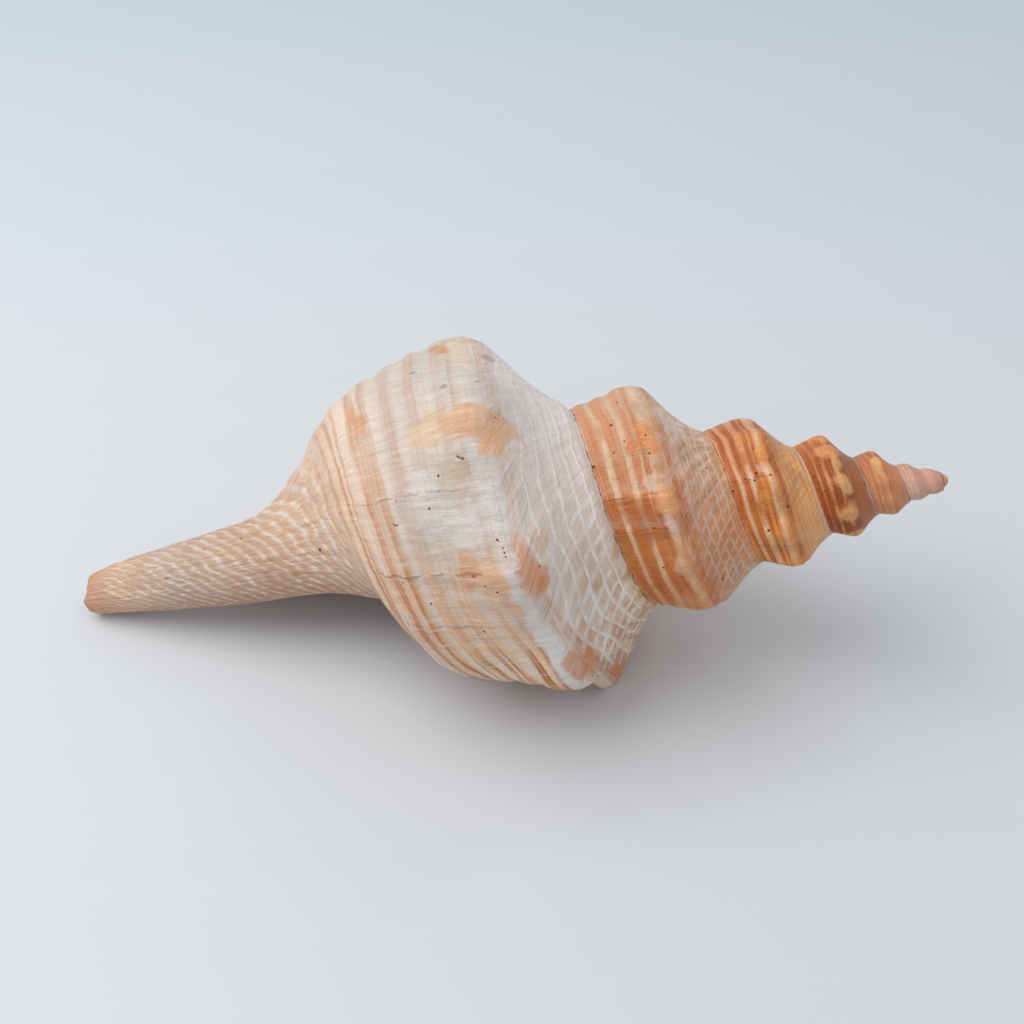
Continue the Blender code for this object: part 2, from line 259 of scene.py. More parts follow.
def rows_at(turn):
    """Rows of a column in whorl scale, down to the tip of the canal."""
    scale = scale_at(turn)
    return np.concatenate([FIXED_ROWS, mix(FIXED_ROWS[-1] * scale, TIP_DOWN, CANAL_ROWS) / scale])


def wander_rows(rows, turn):
    """Rows moved with the wandering sutures above and below them."""
    above = np.clip(1.0 - (rows - 1.0) / 0.07, 0.0, 1.0) ** 2
    below = np.clip(1.0 - np.abs(GROWTH - rows) / 0.07, 0.0, 1.0) ** 2 * (turn <= -1.0)
    return rows * (1.0 + suture_wander(turn) * above + suture_wander(turn + 1.0) * below)


class Sheet:
    """The shell's skin before it is wound: vertices in growth coordinates, faces with
    the growth stage and whorl-scale distance of each corner."""

    FIELDS = ("stage", "down", "reach", "twist", "relief", "knob", "canal", "inside", "scar")

    def __init__(self):
        self.points = []
        self.faces = []
        self.corners = []

    def vertex(self, down, radius, turn, groove=0.0, relief=0.0, knob=0.0, inside=0.0, scar=0.0, ahead=0.0):
        """A vertex at a distance down and a radius in metres; groove turns it past the lip."""
        scale = scale_at(turn)
        share = canal_share(down, turn)
        twist = turn * (1.0 - GROOVE_SHARE * ease(0.0, 0.30, share)) + groove + ahead
        self.points.append((turn, down / scale, radius / scale, twist, relief, knob,
                            share * (turn >= -1.0), inside, scar))
        return len(self.points) - 1

    def face(self, *corners):
        """corners are (vertex, stage, down); a vertex given twice is kept once."""
        kept = {}
        for corner in corners:
            kept.setdefault(corner[0], corner)
        if len(kept) > 2:
            self.faces.append(list(kept))
            self.corners.extend(corner[1:] for corner in kept.values())

    def strip(self, first, second):
        """Faces between two rows of corners of the same length."""
        for i in range(len(first) - 1):
            self.face(first[i], first[i + 1], second[i + 1], second[i])


def scar_depth(rows, turn):
    """Share of the scar depth on a column: a groove and the step behind it."""
    lag = turn + LINE_SLANT * (np.minimum(rows, LINE_SLANT_UNTIL) - 1.0)
    total = 0.0 * rows
    for stage, depth in SCARS:
        away = lag - stage + 0.0035 * drift(rows, 0.045, 31)
        step = np.exp(-np.maximum(away, 0.0) / 0.030) * (away > 0.0) * ease(-0.004, 0.004, away)
        total -= depth * (bell(away, 0.0, 0.0050) * 0.9 - step * 0.45)
    return total * ease(1.04, 1.12, rows) * ease(1.74, 1.60, rows)


def build_coil(sheet):
    """Outside from the apex to the lip: returns its columns of corners and the apex ring."""
    first = round(SPIRE_START * COLUMNS)
    coarse_end = round(COARSE_UNTIL * COLUMNS)
    ring_down = GROWTH * scale_at(SPIRE_START)
    ring_radius = spire_section(GROWTH) * scale_at(SPIRE_START) * (1.0 - APEX_TAPER)
    columns = {}
    ring = []
    for i in range(first, 1):
        turn = i / COLUMNS
        scale = scale_at(turn)
        count = TIP_ROW + 1 if i >= -COLUMNS else LAST_WHORL_ROW + 1
        rows = rows_at(turn)[:count]
        picked = list(range(0, count, COARSE)) if i < coarse_end else list(range(count))
        if picked[-1] != count - 1:
            picked.append(count - 1)
        down = wander_rows(rows, turn) * scale
        radius = outer_radius(down, turn)
        if i > first + COLUMNS:
            below = outer_radius(down, turn - 1.0) + 0.0085 * scale * ease(0.0, 0.0062, rows - 1.0)
            radius = np.where(rows < 1.06, np.maximum(radius, below), radius)
        knob = knob_height(rows, turn) / 0.05
        relief = ease(1.0, 1.03, rows)
        if turn <= -1.0:
            relief = relief * ease(GROWTH, GROWTH - 0.03, rows)
        scar = scar_depth(rows, turn)
        ahead = lip_wave(rows) * ease(-0.012, 0.0, turn)
        before = columns.get(i - COLUMNS)
        if before:
            top = before[LAST_WHORL_ROW if i >= 0 else -1][0]
        else:
            top = sheet.vertex(ring_down, ring_radius, turn)
            ring.append((top, turn, 1.0))
        if i == first:
            columns[i] = [(top, turn, float(rows[k])) for k in picked]
            continue
        column = [(top, turn, 1.0)]
        grown = min((i - first) / COLUMNS, 1.0)
        for k in picked[1:]:
            here_down, here_radius = down[k], radius[k]
            if grown < 1.0:
                f = (rows[k] - 1.0) / (GROWTH - 1.0)
                here_down = mix(ring_down, down[LAST_WHORL_ROW], f)
                here_radius = mix(ring_radius, radius[LAST_WHORL_ROW], f) + 0.05 * scale * grown * math.sin(math.pi * f)
            vert = sheet.vertex(worn_tip(here_down, turn), here_radius, turn, relief=relief[k], knob=knob[k],
                                scar=scar[k] * grown, ahead=ahead[k])
            column.append((vert, turn, rows[k]))
        columns[i] = column
    for i in range(first, 0):
        here, there = columns[i], columns[i + 1]
        if i < coarse_end <= i + 1:
            for k in range(len(here) - 1):
                last = min(COARSE * (k + 1), LAST_WHORL_ROW)
                sheet.face(here[k], here[k + 1], *(there[r] for r in range(last, COARSE * k - 1, -1)))
            continue
        count = min(len(here), len(there))
        sheet.strip(here[:count], there[:count])
    return columns, ring


def build_apex(sheet, ring):
    """Rounded first whorl over the ring."""
    down = GROWTH * scale_at(SPIRE_START)
    radius = spire_section(GROWTH) * scale_at(SPIRE_START) * (1.0 - APEX_TAPER)
    before = ring + [(ring[0][0], SPIRE_START + 1.0, 1.0)]
    for share in (0.2, 0.4, 0.58, 0.74, 0.87, 0.96):
        width = math.sqrt(1.0 - share ** 1.8)
        level = 1.0 - 0.1 * share
        now = []
        for i in range(len(ring)):
            turn = SPIRE_START + i / COLUMNS
            now.append((sheet.vertex(mix(down, APEX_DOWN, share), radius * width, turn), turn, level))
        now.append((now[0][0], SPIRE_START + 1.0, level))
        sheet.strip(now, before)
        before = now
    tip = sheet.vertex(APEX_DOWN, 0.0, SPIRE_START)
    for i in range(len(before) - 1):
        sheet.face((tip, SPIRE_START, 0.9), before[i], before[i + 1])


def build_groove(sheet, columns):
    """Rounded lip rim, open groove under the canal and the closed tip: returns the mouth loop."""
    lip, pillar = columns[0], columns[-COLUMNS]
    rows, rows_before = rows_at(0.0), rows_at(-1.0)
    rims, edges, walls = {0: lip[0]}, {0: lip[0]}, {}
    for row in range(1, TIP_ROW + 1):
        down = rows[row] * scale_at(0.0)
        radius = outer_radius(down, 0.0)
        wave = lip_wave(rows[row])
        thick = min(LIP_THICKNESS, 0.42 * radius) * (1.0 + 100.0 * wave)
        down = worn_tip(down, 0.0)
        edge = sheet.vertex(down, radius - 0.45 * thick, 0.0, ahead=0.0016 + wave, inside=0.35)
        rim = sheet.vertex(down, radius - thick, 0.0, ahead=wave * 0.5, inside=0.8)
        edges[row] = (edge, 0.0, rows[row])
        rims[row] = (rim, 0.0, rows[row])
    for row in range(GROOVE_ROW, TIP_ROW + 1):
        down_lip = rows[row] * scale_at(0.0)
        down_pillar = rows_before[row] * scale_at(-1.0)
        share = GROOVE_SHARE * ease(0.0, 0.30, canal_share(down_lip, 0.0))
        floor = 0.0028 if row < TIP_ROW else 0.0016
        side = 0.55 * outer_radius(down_pillar, -1.0)
        points = []
        for f, rise in ((0.2, 0.2), (0.4, 0.0), (0.6, 0.12), (0.78, 0.5), (0.91, 0.9)):
            down = mix(worn_tip(down_lip, 0.0), worn_tip(down_pillar, -1.0), f)
            vert = sheet.vertex(down, mix(floor, side, rise), 0.0, groove=share * f, inside=0.9)
            points.append((vert, 0.0, down / scale_at(0.0)))
        walls[row] = points
    for row in range(TIP_ROW):
        sheet.face(lip[row], lip[row + 1], edges[row + 1], edges[row])
        sheet.face(edges[row], edges[row + 1], rims[row + 1], rims[row])
    for row in range(GROOVE_ROW, TIP_ROW):
        here = [rims[row]] + walls[row] + [pillar[row]]
        there = [rims[row + 1]] + walls[row + 1] + [pillar[row + 1]]
        sheet.strip(there, here)
    loop = [columns[i][TIP_ROW] for i in range(-COLUMNS, 1)] + [edges[TIP_ROW], rims[TIP_ROW]] + walls[TIP_ROW]
    centre = (sheet.vertex(TIP_DOWN + 0.0012, 0.0, 0.0), 0.0, rows[-1])
    for i in range(len(loop)):
        sheet.face(loop[i], centre, loop[(i + 1) % len(loop)])
    mouth = [rims[row] for row in range(GROOVE_ROW + 1)] + walls[GROOVE_ROW]
    return mouth + [pillar[row] for row in range(GROOVE_ROW, LAST_WHORL_ROW, -1)]


def chamber_section(depth, count_out, count_floor, count_in):
    """Loop of (distance down, radius) of the hollow, depth turns behind the lip."""
    turn = -depth
    before = turn - 1.0
    scale, older = scale_at(turn), scale_at(before)
    g = scale / SUTURE_DOWN
    deep = ease(0.0, 0.35, depth)
    wall = mix(LIP_THICKNESS, WALL_THICKNESS * g ** 0.6, deep)
    callus = CALLUS * ease(0.0, 0.06, depth)
    top = mix(1.0, 1.055, ease(0.0, 0.05, depth)) * scale
    rows = rows_at(0.0)
    low = mix(rows[GROOVE_ROW] * scale_at(0.0), 1.80 * scale, deep)
    low_in = mix(rows_at(-1.0)[GROOVE_ROW] * scale_at(-1.0), 1.66 * scale, deep)

    def bare_pillar(down):
        return soft_max(whorl_radius(down / older, before) * older, COLUMELLA * scale, 0.004)

    out_share = (rows[:count_out] - 1.0) / (rows[count_out - 1] - 1.0)
    down_out = mix(top, low, mix(out_share, np.linspace(0.0, 1.0, count_out) ** 1.05, ease(0.0, 0.1, depth)))
    bare = whorl_radius(down_out / scale, turn) * scale
    radius_out = mix(outer_radius(down_out, turn), bare, deep) - wall

    in_share = np.linspace(0.0, 1.0, count_in + 1)[:-1]
    down_in = mix(low_in, top, in_share ** 0.85)
    fold = bell(in_share, 0.30, 0.035) + 0.8 * bell(in_share, 0.42, 0.030)
    radius_in = (mix(outer_radius(down_in, before), bare_pillar(down_in), deep) + callus
                 + 0.0009 * g * fold * ease(0.02, 0.15, depth))

    f = np.arange(1, count_floor + 1) / (count_floor + 1)
    down_floor = mix(down_out[-1], down_in[0], f) + 0.05 * scale * np.sin(math.pi * f) * deep
    radius_floor = mix(radius_out[-1], radius_in[0], f)
    corner_in = mix(outer_radius(top, before), bare_pillar(top), deep) + callus
    radius_out[0] = max(radius_out[0], corner_in + 0.0004)
    return (np.concatenate([down_out, down_floor, down_in]),
            np.concatenate([radius_out, radius_floor, radius_in]))


def build_chamber(sheet, mouth):
    """Hollow of the last whorls, swept back from the aperture."""
    count_out = GROOVE_ROW + 1
    count_in = GROOVE_ROW - LAST_WHORL_ROW
    counts = (count_out, len(mouth) - count_out - count_in, count_in)
    before = mouth
    around = np.linspace(1.0, 2.6, len(mouth))
    for step in range(1, CHAMBER_STEPS + 1):
        depth = CHAMBER_TURNS * (step / CHAMBER_STEPS) ** 1.25
        down, radius = chamber_section(depth, *counts)
        close = ease(CHAMBER_TURNS - 0.14, CHAMBER_TURNS, depth) * 0.62
        down = mix(down, down.mean(), close)
        radius = mix(radius, radius.mean(), close)
        now = [(sheet.vertex(down[k], radius[k], -depth, inside=1.0), -depth, around[k]) for k in range(len(down))]
        sheet.strip(before + before[:1], now + now[:1])
        before = now
    last = CHAMBER_TURNS + 0.012
    down, radius = chamber_section(last, *counts)
    end = (sheet.vertex(down.mean(), radius.mean(), -last, inside=1.0), -last, 1.8)
    for i in range(len(before)):
        sheet.face(before[i], before[(i + 1) % len(before)], end)


def sheet_mesh(sheet):
    """Mesh of the flat sheet with its growth coordinates as attributes and a UV map."""
    table = np.array(sheet.points, dtype=np.float32)
    mesh = bpy.data.meshes.new("shell_sheet")
    mesh.from_pydata((table[:, :3] * 0.1).tolist(), [], sheet.faces)
    for k, field in enumerate(Sheet.FIELDS):
        attribute = mesh.attributes.new(field, "FLOAT", "POINT")
        attribute.data.foreach_set("value", np.ascontiguousarray(table[:, k]))
    layer = mesh.uv_layers.new(name="growth")
    layer.uv.foreach_set("vector", np.array(sheet.corners, dtype=np.float32).ravel())
    return mesh


# ---------------------------------------------------------------- wiring of node trees
class Value:
    """A socket of a tree; arithmetic on it adds Math nodes."""

    def __init__(self, wiring, socket):
        self.wiring = wiring
        self.socket = socket

    def __add__(self, other):
        return self.wiring.math("ADD", self, other)

    def __sub__(self, other):
        return self.wiring.math("SUBTRACT", self, other)

    def __mul__(self, other):
        return self.wiring.math("MULTIPLY", self, other)

    def __truediv__(self, other):
        return self.wiring.math("DIVIDE", self, other)

    def __rsub__(self, other):
        return self.wiring.math("SUBTRACT", other, self)

    __radd__ = __add__
    __rmul__ = __mul__


RAMP_LIMIT = 30               # a ramp node takes 32 stops


class Wiring:
    """Adds nodes to a tree; an input that is a Value is linked, any other is set."""

    def __init__(self, tree):
        self.tree = tree

    def node(self, kind, values=None, **settings):
        node = self.tree.nodes.new(kind)
        for key, value in settings.items():
            setattr(node, key, value)
        for key, value in (values or {}).items():
            if isinstance(value, Value):
                self.tree.links.new(value.socket, node.inputs[key])
            else:
                node.inputs[key].default_value = value
        return node

    def out(self, kind, values=None, output=0, **settings):
        return Value(self, self.node(kind, values, **settings).outputs[output])

    def outs(self, kind, values=None):
        return [Value(self, socket) for socket in self.node(kind, values).outputs]

    def math(self, operation, *values, clamp=False):
        return self.out("ShaderNodeMath", dict(enumerate(values)), operation=operation, use_clamp=clamp)

    def larger(self, *values):
        total = values[0]
        for value in values[1:]:
            total = self.math("MAXIMUM", total, value)
        return total

    def arrows(self, operation, a, b, output=0):
        """Vector maths; SCALE takes its second value as a factor."""
        second = "Scale" if operation == "SCALE" else 1
        return self.out("ShaderNodeVectorMath", {0: a, second: b}, output, operation=operation)

    def ease(self, value, low, high, start=0.0, end=1.0):
        """Smooth step of value from start at low to end at high."""
        return self.out("ShaderNodeMapRange", {0: value, 1: low, 2: high, 3: start, 4: end},
                        interpolation_type="SMOOTHSTEP")

    def band(self, value, low, high, soft):
        """1 between low and high, with soft edges."""
        return self.ease(value, low - soft, low + soft) * self.ease(value, high + soft, high - soft)

    def line(self, value, period, place, width, soft):
        """Repeating line: 1 within width of place in each period of value (shares of the period)."""
        away = self.math("ABSOLUTE", self.math("FRACT", value * (1.0 / period)) - place)
        return self.ease(away, width + soft, max(width - soft, 0.0))

    def vector(self, x, y, z):
        return self.out("ShaderNodeCombineXYZ", {0: x, 1: y, 2: z})

    def noise(self, vector, scale, detail=2.0, rough=0.5, distort=0.0):
        return self.out("ShaderNodeTexNoise", {"Vector": vector, "Scale": scale, "Detail": detail,
                                               "Roughness": rough, "Distortion": distort})

    def waver(self, *values):
        """Noise about zero."""
        return self.noise(*values) - 0.5

    def mix(self, factor, a, b, blend="MIX"):
        return self.out("ShaderNodeMix", {0: factor, 6: a, 7: b}, 2, data_type="RGBA", blend_type=blend)

    def ramp(self, value, stops):
        """Colour ramp over value through rows of (place, tint) or (place, red, green, blue)."""
        colour = None
        for start in range(0, len(stops) - 1, RAMP_LIMIT):
            chunk = stops[start:start + RAMP_LIMIT + 1]
            low, high = chunk[0][0], chunk[-1][0]
            share = self.math("DIVIDE", value - low, high - low, clamp=True)
            node = self.node("ShaderNodeValToRGB", {0: share})
            elements = node.color_ramp.elements
            while len(elements) < len(chunk):
                elements.new(0.5)
            for element in elements:
                element.position = 0.0
            for k, stop in enumerate(chunk):
                elements[k].position = min((stop[0] - low) / (high - low), 1.0)
                elements[k].color = tint(stop[1:])
            part = Value(self, node.outputs[0])
            colour = part if colour is None else self.mix(self.math("GREATER_THAN", value, low), colour, part)
        return colour


def linear(red, green, blue):
    """Display colour to the linear colour that nodes take."""
    return tuple(channel / 12.92 if channel <= 0.04045 else ((channel + 0.055) / 1.055) ** 2.4
                 for channel in (red, green, blue)) + (1.0,)


def tint(values):
    """Linear colour of a display colour or of a single level; a linear colour stays as it is."""
    if len(values) == 3:
        return linear(*values)
    return tuple(values) if len(values) == 4 else (values[0],) * 3 + (1.0,)


def opaque(colour):
    return (*colour, 1.0)


class Coat:
    """A colour that further colours are laid over."""

    def __init__(self, wiring, colour):
        self.wiring = wiring
        self.colour = colour

    def lay(self, factor, colour):
        if not isinstance(colour, Value):
            colour = tint(colour)
        self.colour = self.wiring.mix(factor, self.colour, colour)


SOCKETS = {float: "Float", int: "Int", tuple: "Vector", bpy.types.Material: "Material", bpy.types.Object: "Object"}


def new_tree(name, inputs):
    """Geometry tree with the named inputs: its wiring and the values given by the group input."""
    tree = bpy.data.node_groups.new(name, "GeometryNodeTree")
    tree.interface.new_socket(name="Shell", in_out="INPUT", socket_type="NodeSocketGeometry")
    for key, value in inputs.items():
        socket = tree.interface.new_socket(name=key, in_out="INPUT", socket_type="NodeSocket" + SOCKETS[type(value)])
        if isinstance(value, (float, int, tuple)):
            socket.default_value = value
    tree.interface.new_socket(name="Shell", in_out="OUTPUT", socket_type="NodeSocketGeometry")
    w = Wiring(tree)
    return w, dict(zip(["Shell"] + list(inputs), w.outs("NodeGroupInput")))


def finish_tree(w, geometry, material):
    real = w.out("GeometryNodeRealizeInstances", {"Geometry": geometry})
    w.node("NodeGroupOutput", {0: w.out("GeometryNodeSetMaterial", {"Geometry": real, "Material": material})})


def run_tree(tree, mesh, inputs):
    """Plain mesh that the tree makes of a mesh."""
    holder = bpy.data.objects.new("growing", mesh)
    bpy.context.scene.collection.objects.link(holder)
    modifier = holder.modifiers.new("growth", "NODES")
    modifier.node_group = tree
    for socket in tree.interface.items_tree:
        if socket.in_out == "INPUT" and socket.name in inputs:
            modifier[socket.identifier] = inputs[socket.name]
    bpy.context.view_layer.update()
    depsgraph = bpy.context.evaluated_depsgraph_get()
    grown = bpy.data.meshes.new_from_object(holder.evaluated_get(depsgraph))
    holder.modifiers.remove(modifier)
    bpy.data.objects.remove(holder, do_unlink=True)
    return grown


def named_inputs(settings, names):
    return {name.replace("_", " ").title(): getattr(settings, name) for name in names}


# ---------------------------------------------------------------- winding tree
def wind_shell(mesh, material, settings):
    """Winds the sheet into the shell with ribs, scars and uneven growth: a plain mesh, faces outwards."""
    inputs = named_inputs(settings, ("whorl_growth", "suture_distance", "lip_angle", "axis_pitch", "axis_yaw",
                                     "canal_drop", "rib_height", "rib_spacing", "scar_depth", "unevenness"))
    inputs.update({"Coiling Point": COIL_POINT, "Material": material})
    w, given = new_tree("wind_shell", inputs)
    stage, down, reach, twist, relief, scar = (
        w.out("GeometryNodeInputNamedAttribute", {"Name": name}, data_type="FLOAT")
        for name in ("stage", "down", "reach", "twist", "relief", "scar"))
    scale = given["Suture Distance"] * w.math("POWER", given["Whorl Growth"], stage)
    below = down * scale
    radius = reach * scale
    angle = given["Lip Angle"] + twist * (2.0 * math.pi)
    past = w.larger((below - CANAL_BEND_FROM) / (TIP_DOWN - CANAL_BEND_FROM), 0.0)
    bend = w.math("POWER", past, CANAL_BEND_POWER)
    y = radius * w.math("SINE", angle) + bend * CANAL_SWAY
    z = radius * w.math("COSINE", angle) - bend * given["Canal Drop"]
    pitched = w.out("ShaderNodeVectorRotate", {"Vector": w.vector(below * -1.0, y, z),
                                               "Angle": given["Axis Pitch"] * -1.0}, rotation_type="Y_AXIS")
    turned = w.out("ShaderNodeVectorRotate", {"Vector": pitched, "Angle": given["Axis Yaw"]}, rotation_type="Z_AXIS")
    placed = w.arrows("ADD", turned, given["Coiling Point"])
    wound = w.out("GeometryNodeSetPosition", {"Geometry": given["Shell"], "Position": placed})

    here = w.out("GeometryNodeInputPosition")
    wobble = w.waver(here, 22.0, 1.0) * 2.2
    rib_wave = w.math("COSINE", down * (2.0 * math.pi) / given["Rib Spacing"] + wobble)
    rib_zone = w.band(down, 1.30, 1.80, 0.06) * w.ease(stage, -2.6, -0.9, 0.35, 1.0)
    ribs = rib_wave * rib_zone * given["Rib Height"]
    folds = w.waver(w.vector(stage * 42.0, down * 9.0, 3.0), 1.0, 3.0, 0.55)
    uneven = w.waver(here, 45.0, 2.0, 0.55) * 2.0 + w.waver(here, 210.0, 3.0, 0.6) * 0.45 + folds * 1.1
    uneven = uneven * w.ease(down, 1.70, 1.90, 1.0, 1.6) * given["Unevenness"]
    height = (ribs + scar * given["Scar Depth"] + uneven) * relief * w.math("POWER", scale / SUTURE_DOWN, 0.8)
    lift = w.arrows("SCALE", w.out("GeometryNodeInputNormal"), height)
    raised = w.out("GeometryNodeSetPosition", {"Geometry": wound, "Offset": lift})
    x, y, z = w.outs("ShaderNodeSeparateXYZ", {0: w.out("GeometryNodeInputPosition")})
    rested = w.vector(x, y, w.larger(z, 0.0))
    finish_tree(w, w.out("GeometryNodeSetPosition", {"Geometry": raised, "Position": rested}), given["Material"])

    wound = run_tree(w.tree, mesh, inputs)
    work = bmesh.new()
    work.from_mesh(wound)
    bmesh.ops.recalc_face_normals(work, faces=work.faces)
    work.to_mesh(wound)
    work.free()
    wound.materials.clear()
    wound.materials.append(material)
    wound.shade_smooth()
    wound.set_sharp_from_angle(angle=math.radians(58.0))
    return wound


# ---------------------------------------------------------------- bore holes
BORE_REACH = 0.0013           # only vertices this near a hole hold its size
# Holes that sponges and worms have left: (growth stage, whorl-scale distance, radius in hundredths of a millimetre).
BORES = (
    (-.406, 1.326, 48), (-.409, 1.315, 32), (-.42, 1.391, 32), (-.434, 1.399, 37), (-.447, 1.438, 37),
    (-.387, 1.381, 23), (-.375, 1.21, 27), (-.377, 1.186, 25), (-.368, 1.197, 23), (-.479, 1.281, 32),
    (-.486, 1.27, 25), (-.493, 1.268, 21), (-.507, 1.372, 32), (-.515, 1.347, 36), (-.521, 1.32, 32),
    (-.506, 1.195, 32), (-.518, 1.25, 23), (-.533, 1.527, 34), (-.511, 1.582, 25), (-.568, 1.58, 27),
    (-.427, 1.568, 25), (-.436, 1.523, 19), (-.452, 1.613, 30), (-.458, 1.539, 25), (-.47, 1.61, 23),
    (-.375, 1.568, 19), (-.376, 1.714, 21), (-.527, 1.522, 19), (-.395, 1.357, 17), (-.455, 1.553, 17),
    (-.425, 2.088, 23), (-.435, 2.215, 19), (-1.381, 1.422, 27), (-1.368, 1.371, 27), (-1.367, 1.281, 27),
    (-1.39, 1.285, 32), (-1.493, 1.354, 32), (-1.552, 1.372, 34), (-1.569, 1.305, 27), (-1.391, 1.148, 23),
    (-1.395, 1.07, 23), (-1.417, 1.172, 21), (-1.447, 1.159, 21), (-1.618, 1.163, 34), (-1.376, 1.31, 19),
    (-1.39, 1.35, 19), (-1.547, 1.349, 19), (-1.611, 1.149, 21), (-1.394, 1.52, 47), (-1.609, 1.51, 32),
    (-2.424, 1.42, 36), (-2.415, 1.344, 42), (-2.43, 1.368, 32), (-2.423, 1.263, 34), (-2.537, 1.375, 40),
    (-2.483, 1.341, 21), (-2.444, 1.517, 37), (-3.412, 1.496, 27), (-3.464, 1.451, 23), (-3.504, 1.33, 23),
    (-3.448, 1.041, 25), (-3.498, 1.305, 19))


def point_on_shell(stage, down):
    """World position on the bare outside, before its relief."""
    below = down * scale_at(stage)
    radius = float(outer_radius(below, stage))
    groove = GROOVE_SHARE * float(ease(0.0, 0.30, canal_share(below, stage)))
    angle = LIP_ANGLE + 2.0 * math.pi * stage * (1.0 - groove)
    bend = max((below - CANAL_BEND_FROM) / (TIP_DOWN - CANAL_BEND_FROM), 0.0) ** CANAL_BEND_POWER
    x, y, z = -below, radius * math.sin(angle) + CANAL_SWAY * bend, radius * math.cos(angle) - CANAL_DROP * bend
    x, z = x * math.cos(AXIS_PITCH) - z * math.sin(AXIS_PITCH), x * math.sin(AXIS_PITCH) + z * math.cos(AXIS_PITCH)
    x, y = x * math.cos(AXIS_YAW) - y * math.sin(AXIS_YAW), x * math.sin(AXIS_YAW) + y * math.cos(AXIS_YAW)
    return (x + COIL_POINT[0], y + COIL_POINT[1], z + COIL_POINT[2])


def bore_shell(mesh, material, settings):
    """Scatters small holes over the wound mesh, adds the named ones and stores the nearest on each vertex."""
    holes = bpy.data.meshes.new("bore_points")
    holes.from_pydata([point_on_shell(stage, down) for stage, down, _ in BORES], [], [])
    sizes = holes.attributes.new("bore_size", "FLOAT", "POINT")
    sizes.data.foreach_set("value", [radius * 1e-5 for _, _, radius in BORES])
    points = bpy.data.objects.new("bore_points", holes)
    bpy.context.scene.collection.objects.link(points)
    inputs = named_inputs(settings, ("bore_density", "bore_smallest", "bore_largest", "bore_seed"))
    inputs.update({"Holes": points, "Material": material})
    w, given = new_tree("bore_shell", inputs)

    def stored(geometry, name, value, kind):
        return w.out("GeometryNodeStoreNamedAttribute", {"Geometry": geometry, "Name": name, "Value": value},
                     data_type=kind, domain="POINT")

    def sampled(value, kind):
        return w.out("GeometryNodeSampleIndex", {"Geometry": holes, "Value": value, "Index": nearest},
                     data_type=kind, domain="POINT")

    seed = given["Bore Seed"]
    scattered = w.out("GeometryNodeDistributePointsOnFaces",
                      {"Mesh": given["Shell"], "Density": given["Bore Density"], "Seed": seed},
                      distribute_method="RANDOM")
    share = w.out("FunctionNodeRandomValue", {2: 0.0, 3: 1.0, "Seed": seed}, 1, data_type="FLOAT")
    smallest = given["Bore Smallest"]
    size = smallest + w.math("POWER", share, 2.5) * (given["Bore Largest"] - smallest)
    named = w.out("GeometryNodeObjectInfo", {0: given["Holes"]}, "Geometry")
    join = w.node("GeometryNodeJoinGeometry")
    for part in (stored(scattered, "bore_size", size, "FLOAT"), w.out("GeometryNodeMeshToPoints", {"Mesh": named})):
        w.tree.links.new(part.socket, join.inputs[0])
    holes = Value(w, join.outputs[0])
    nearest = w.out("GeometryNodeSampleNearest", {"Geometry": holes}, domain="POINT")
    spot = w.out("GeometryNodeInputPosition")
    place = sampled(spot, "FLOAT_VECTOR")
    near = w.math("LESS_THAN", w.arrows("DISTANCE", spot, place, "Value"), BORE_REACH)
    reach = sampled(w.out("GeometryNodeInputNamedAttribute", {"Name": "bore_size"}, data_type="FLOAT"), "FLOAT") * near
    shell = stored(given["Shell"], "bore_place", place, "FLOAT_VECTOR")
    finish_tree(w, stored(shell, "bore_size", reach, "FLOAT"), given["Material"])
    bored = run_tree(w.tree, mesh, inputs)
    bpy.data.objects.remove(points, do_unlink=True)
    return bored


# ---------------------------------------------------------------- colours of the shell
# Tables by growth stage hold (stage, red, green, blue) or (stage, strength).
# Ground colour of the whorl sides by growth stage. The apex whorls are lightened as painted light where they lie in
# shade; low on the last whorl the colour is warmer and darker, partly painted shade.
SIDE_COLOURS = (
    (-8, 1.0, .68, .54), (-7, 1.0, .7, .57), (-6.6, 1.0, .74, .63), (-6.2, 1.0, .79, .7), (-5.8, .95, .72, .62),
    (-5.4, .97, .8, .73), (-4.9, .9, .62, .45), (-4.5, .94, .66, .48), (-4.2, .86, .55, .36), (-3.9, .72, .41, .23),
    (-3.5, .67, .32, .11), (-3.25, .72, .38, .16), (-3.1, .88, .53, .28), (-2.9, .97, .66, .35),
    (-2.65, .89, .54, .27), (-2.5, .96, .62, .33), (-2.35, .78, .44, .2), (-2.2, .88, .58, .38), (-2, .85, .57, .37),
    (-1.85, .95, .72, .55), (-1.65, .92, .66, .49), (-1.56, .91, .64, .45), (-1.515, .79, .5, .28),
    (-1.495, .8, .5, .25), (-1.455, .82, .42, .14), (-1.425, .76, .5, .28), (-1.385, .69, .44, .26),
    (-1.372, .74, .36, .14), (-1.35, .78, .46, .21), (-1.3, .74, .49, .3), (-1.2, .84, .64, .5), (-1, .82, .64, .53),
    (-.85, .77, .56, .4), (-.72, .77, .57, .42), (-.6, .79, .6, .48), (-.52, .96, .82, .68), (-.43, .89, .73, .6),
    (-.36, .78, .72, .66), (-.217, .83, .78, .74), (0, .83, .77, .7))
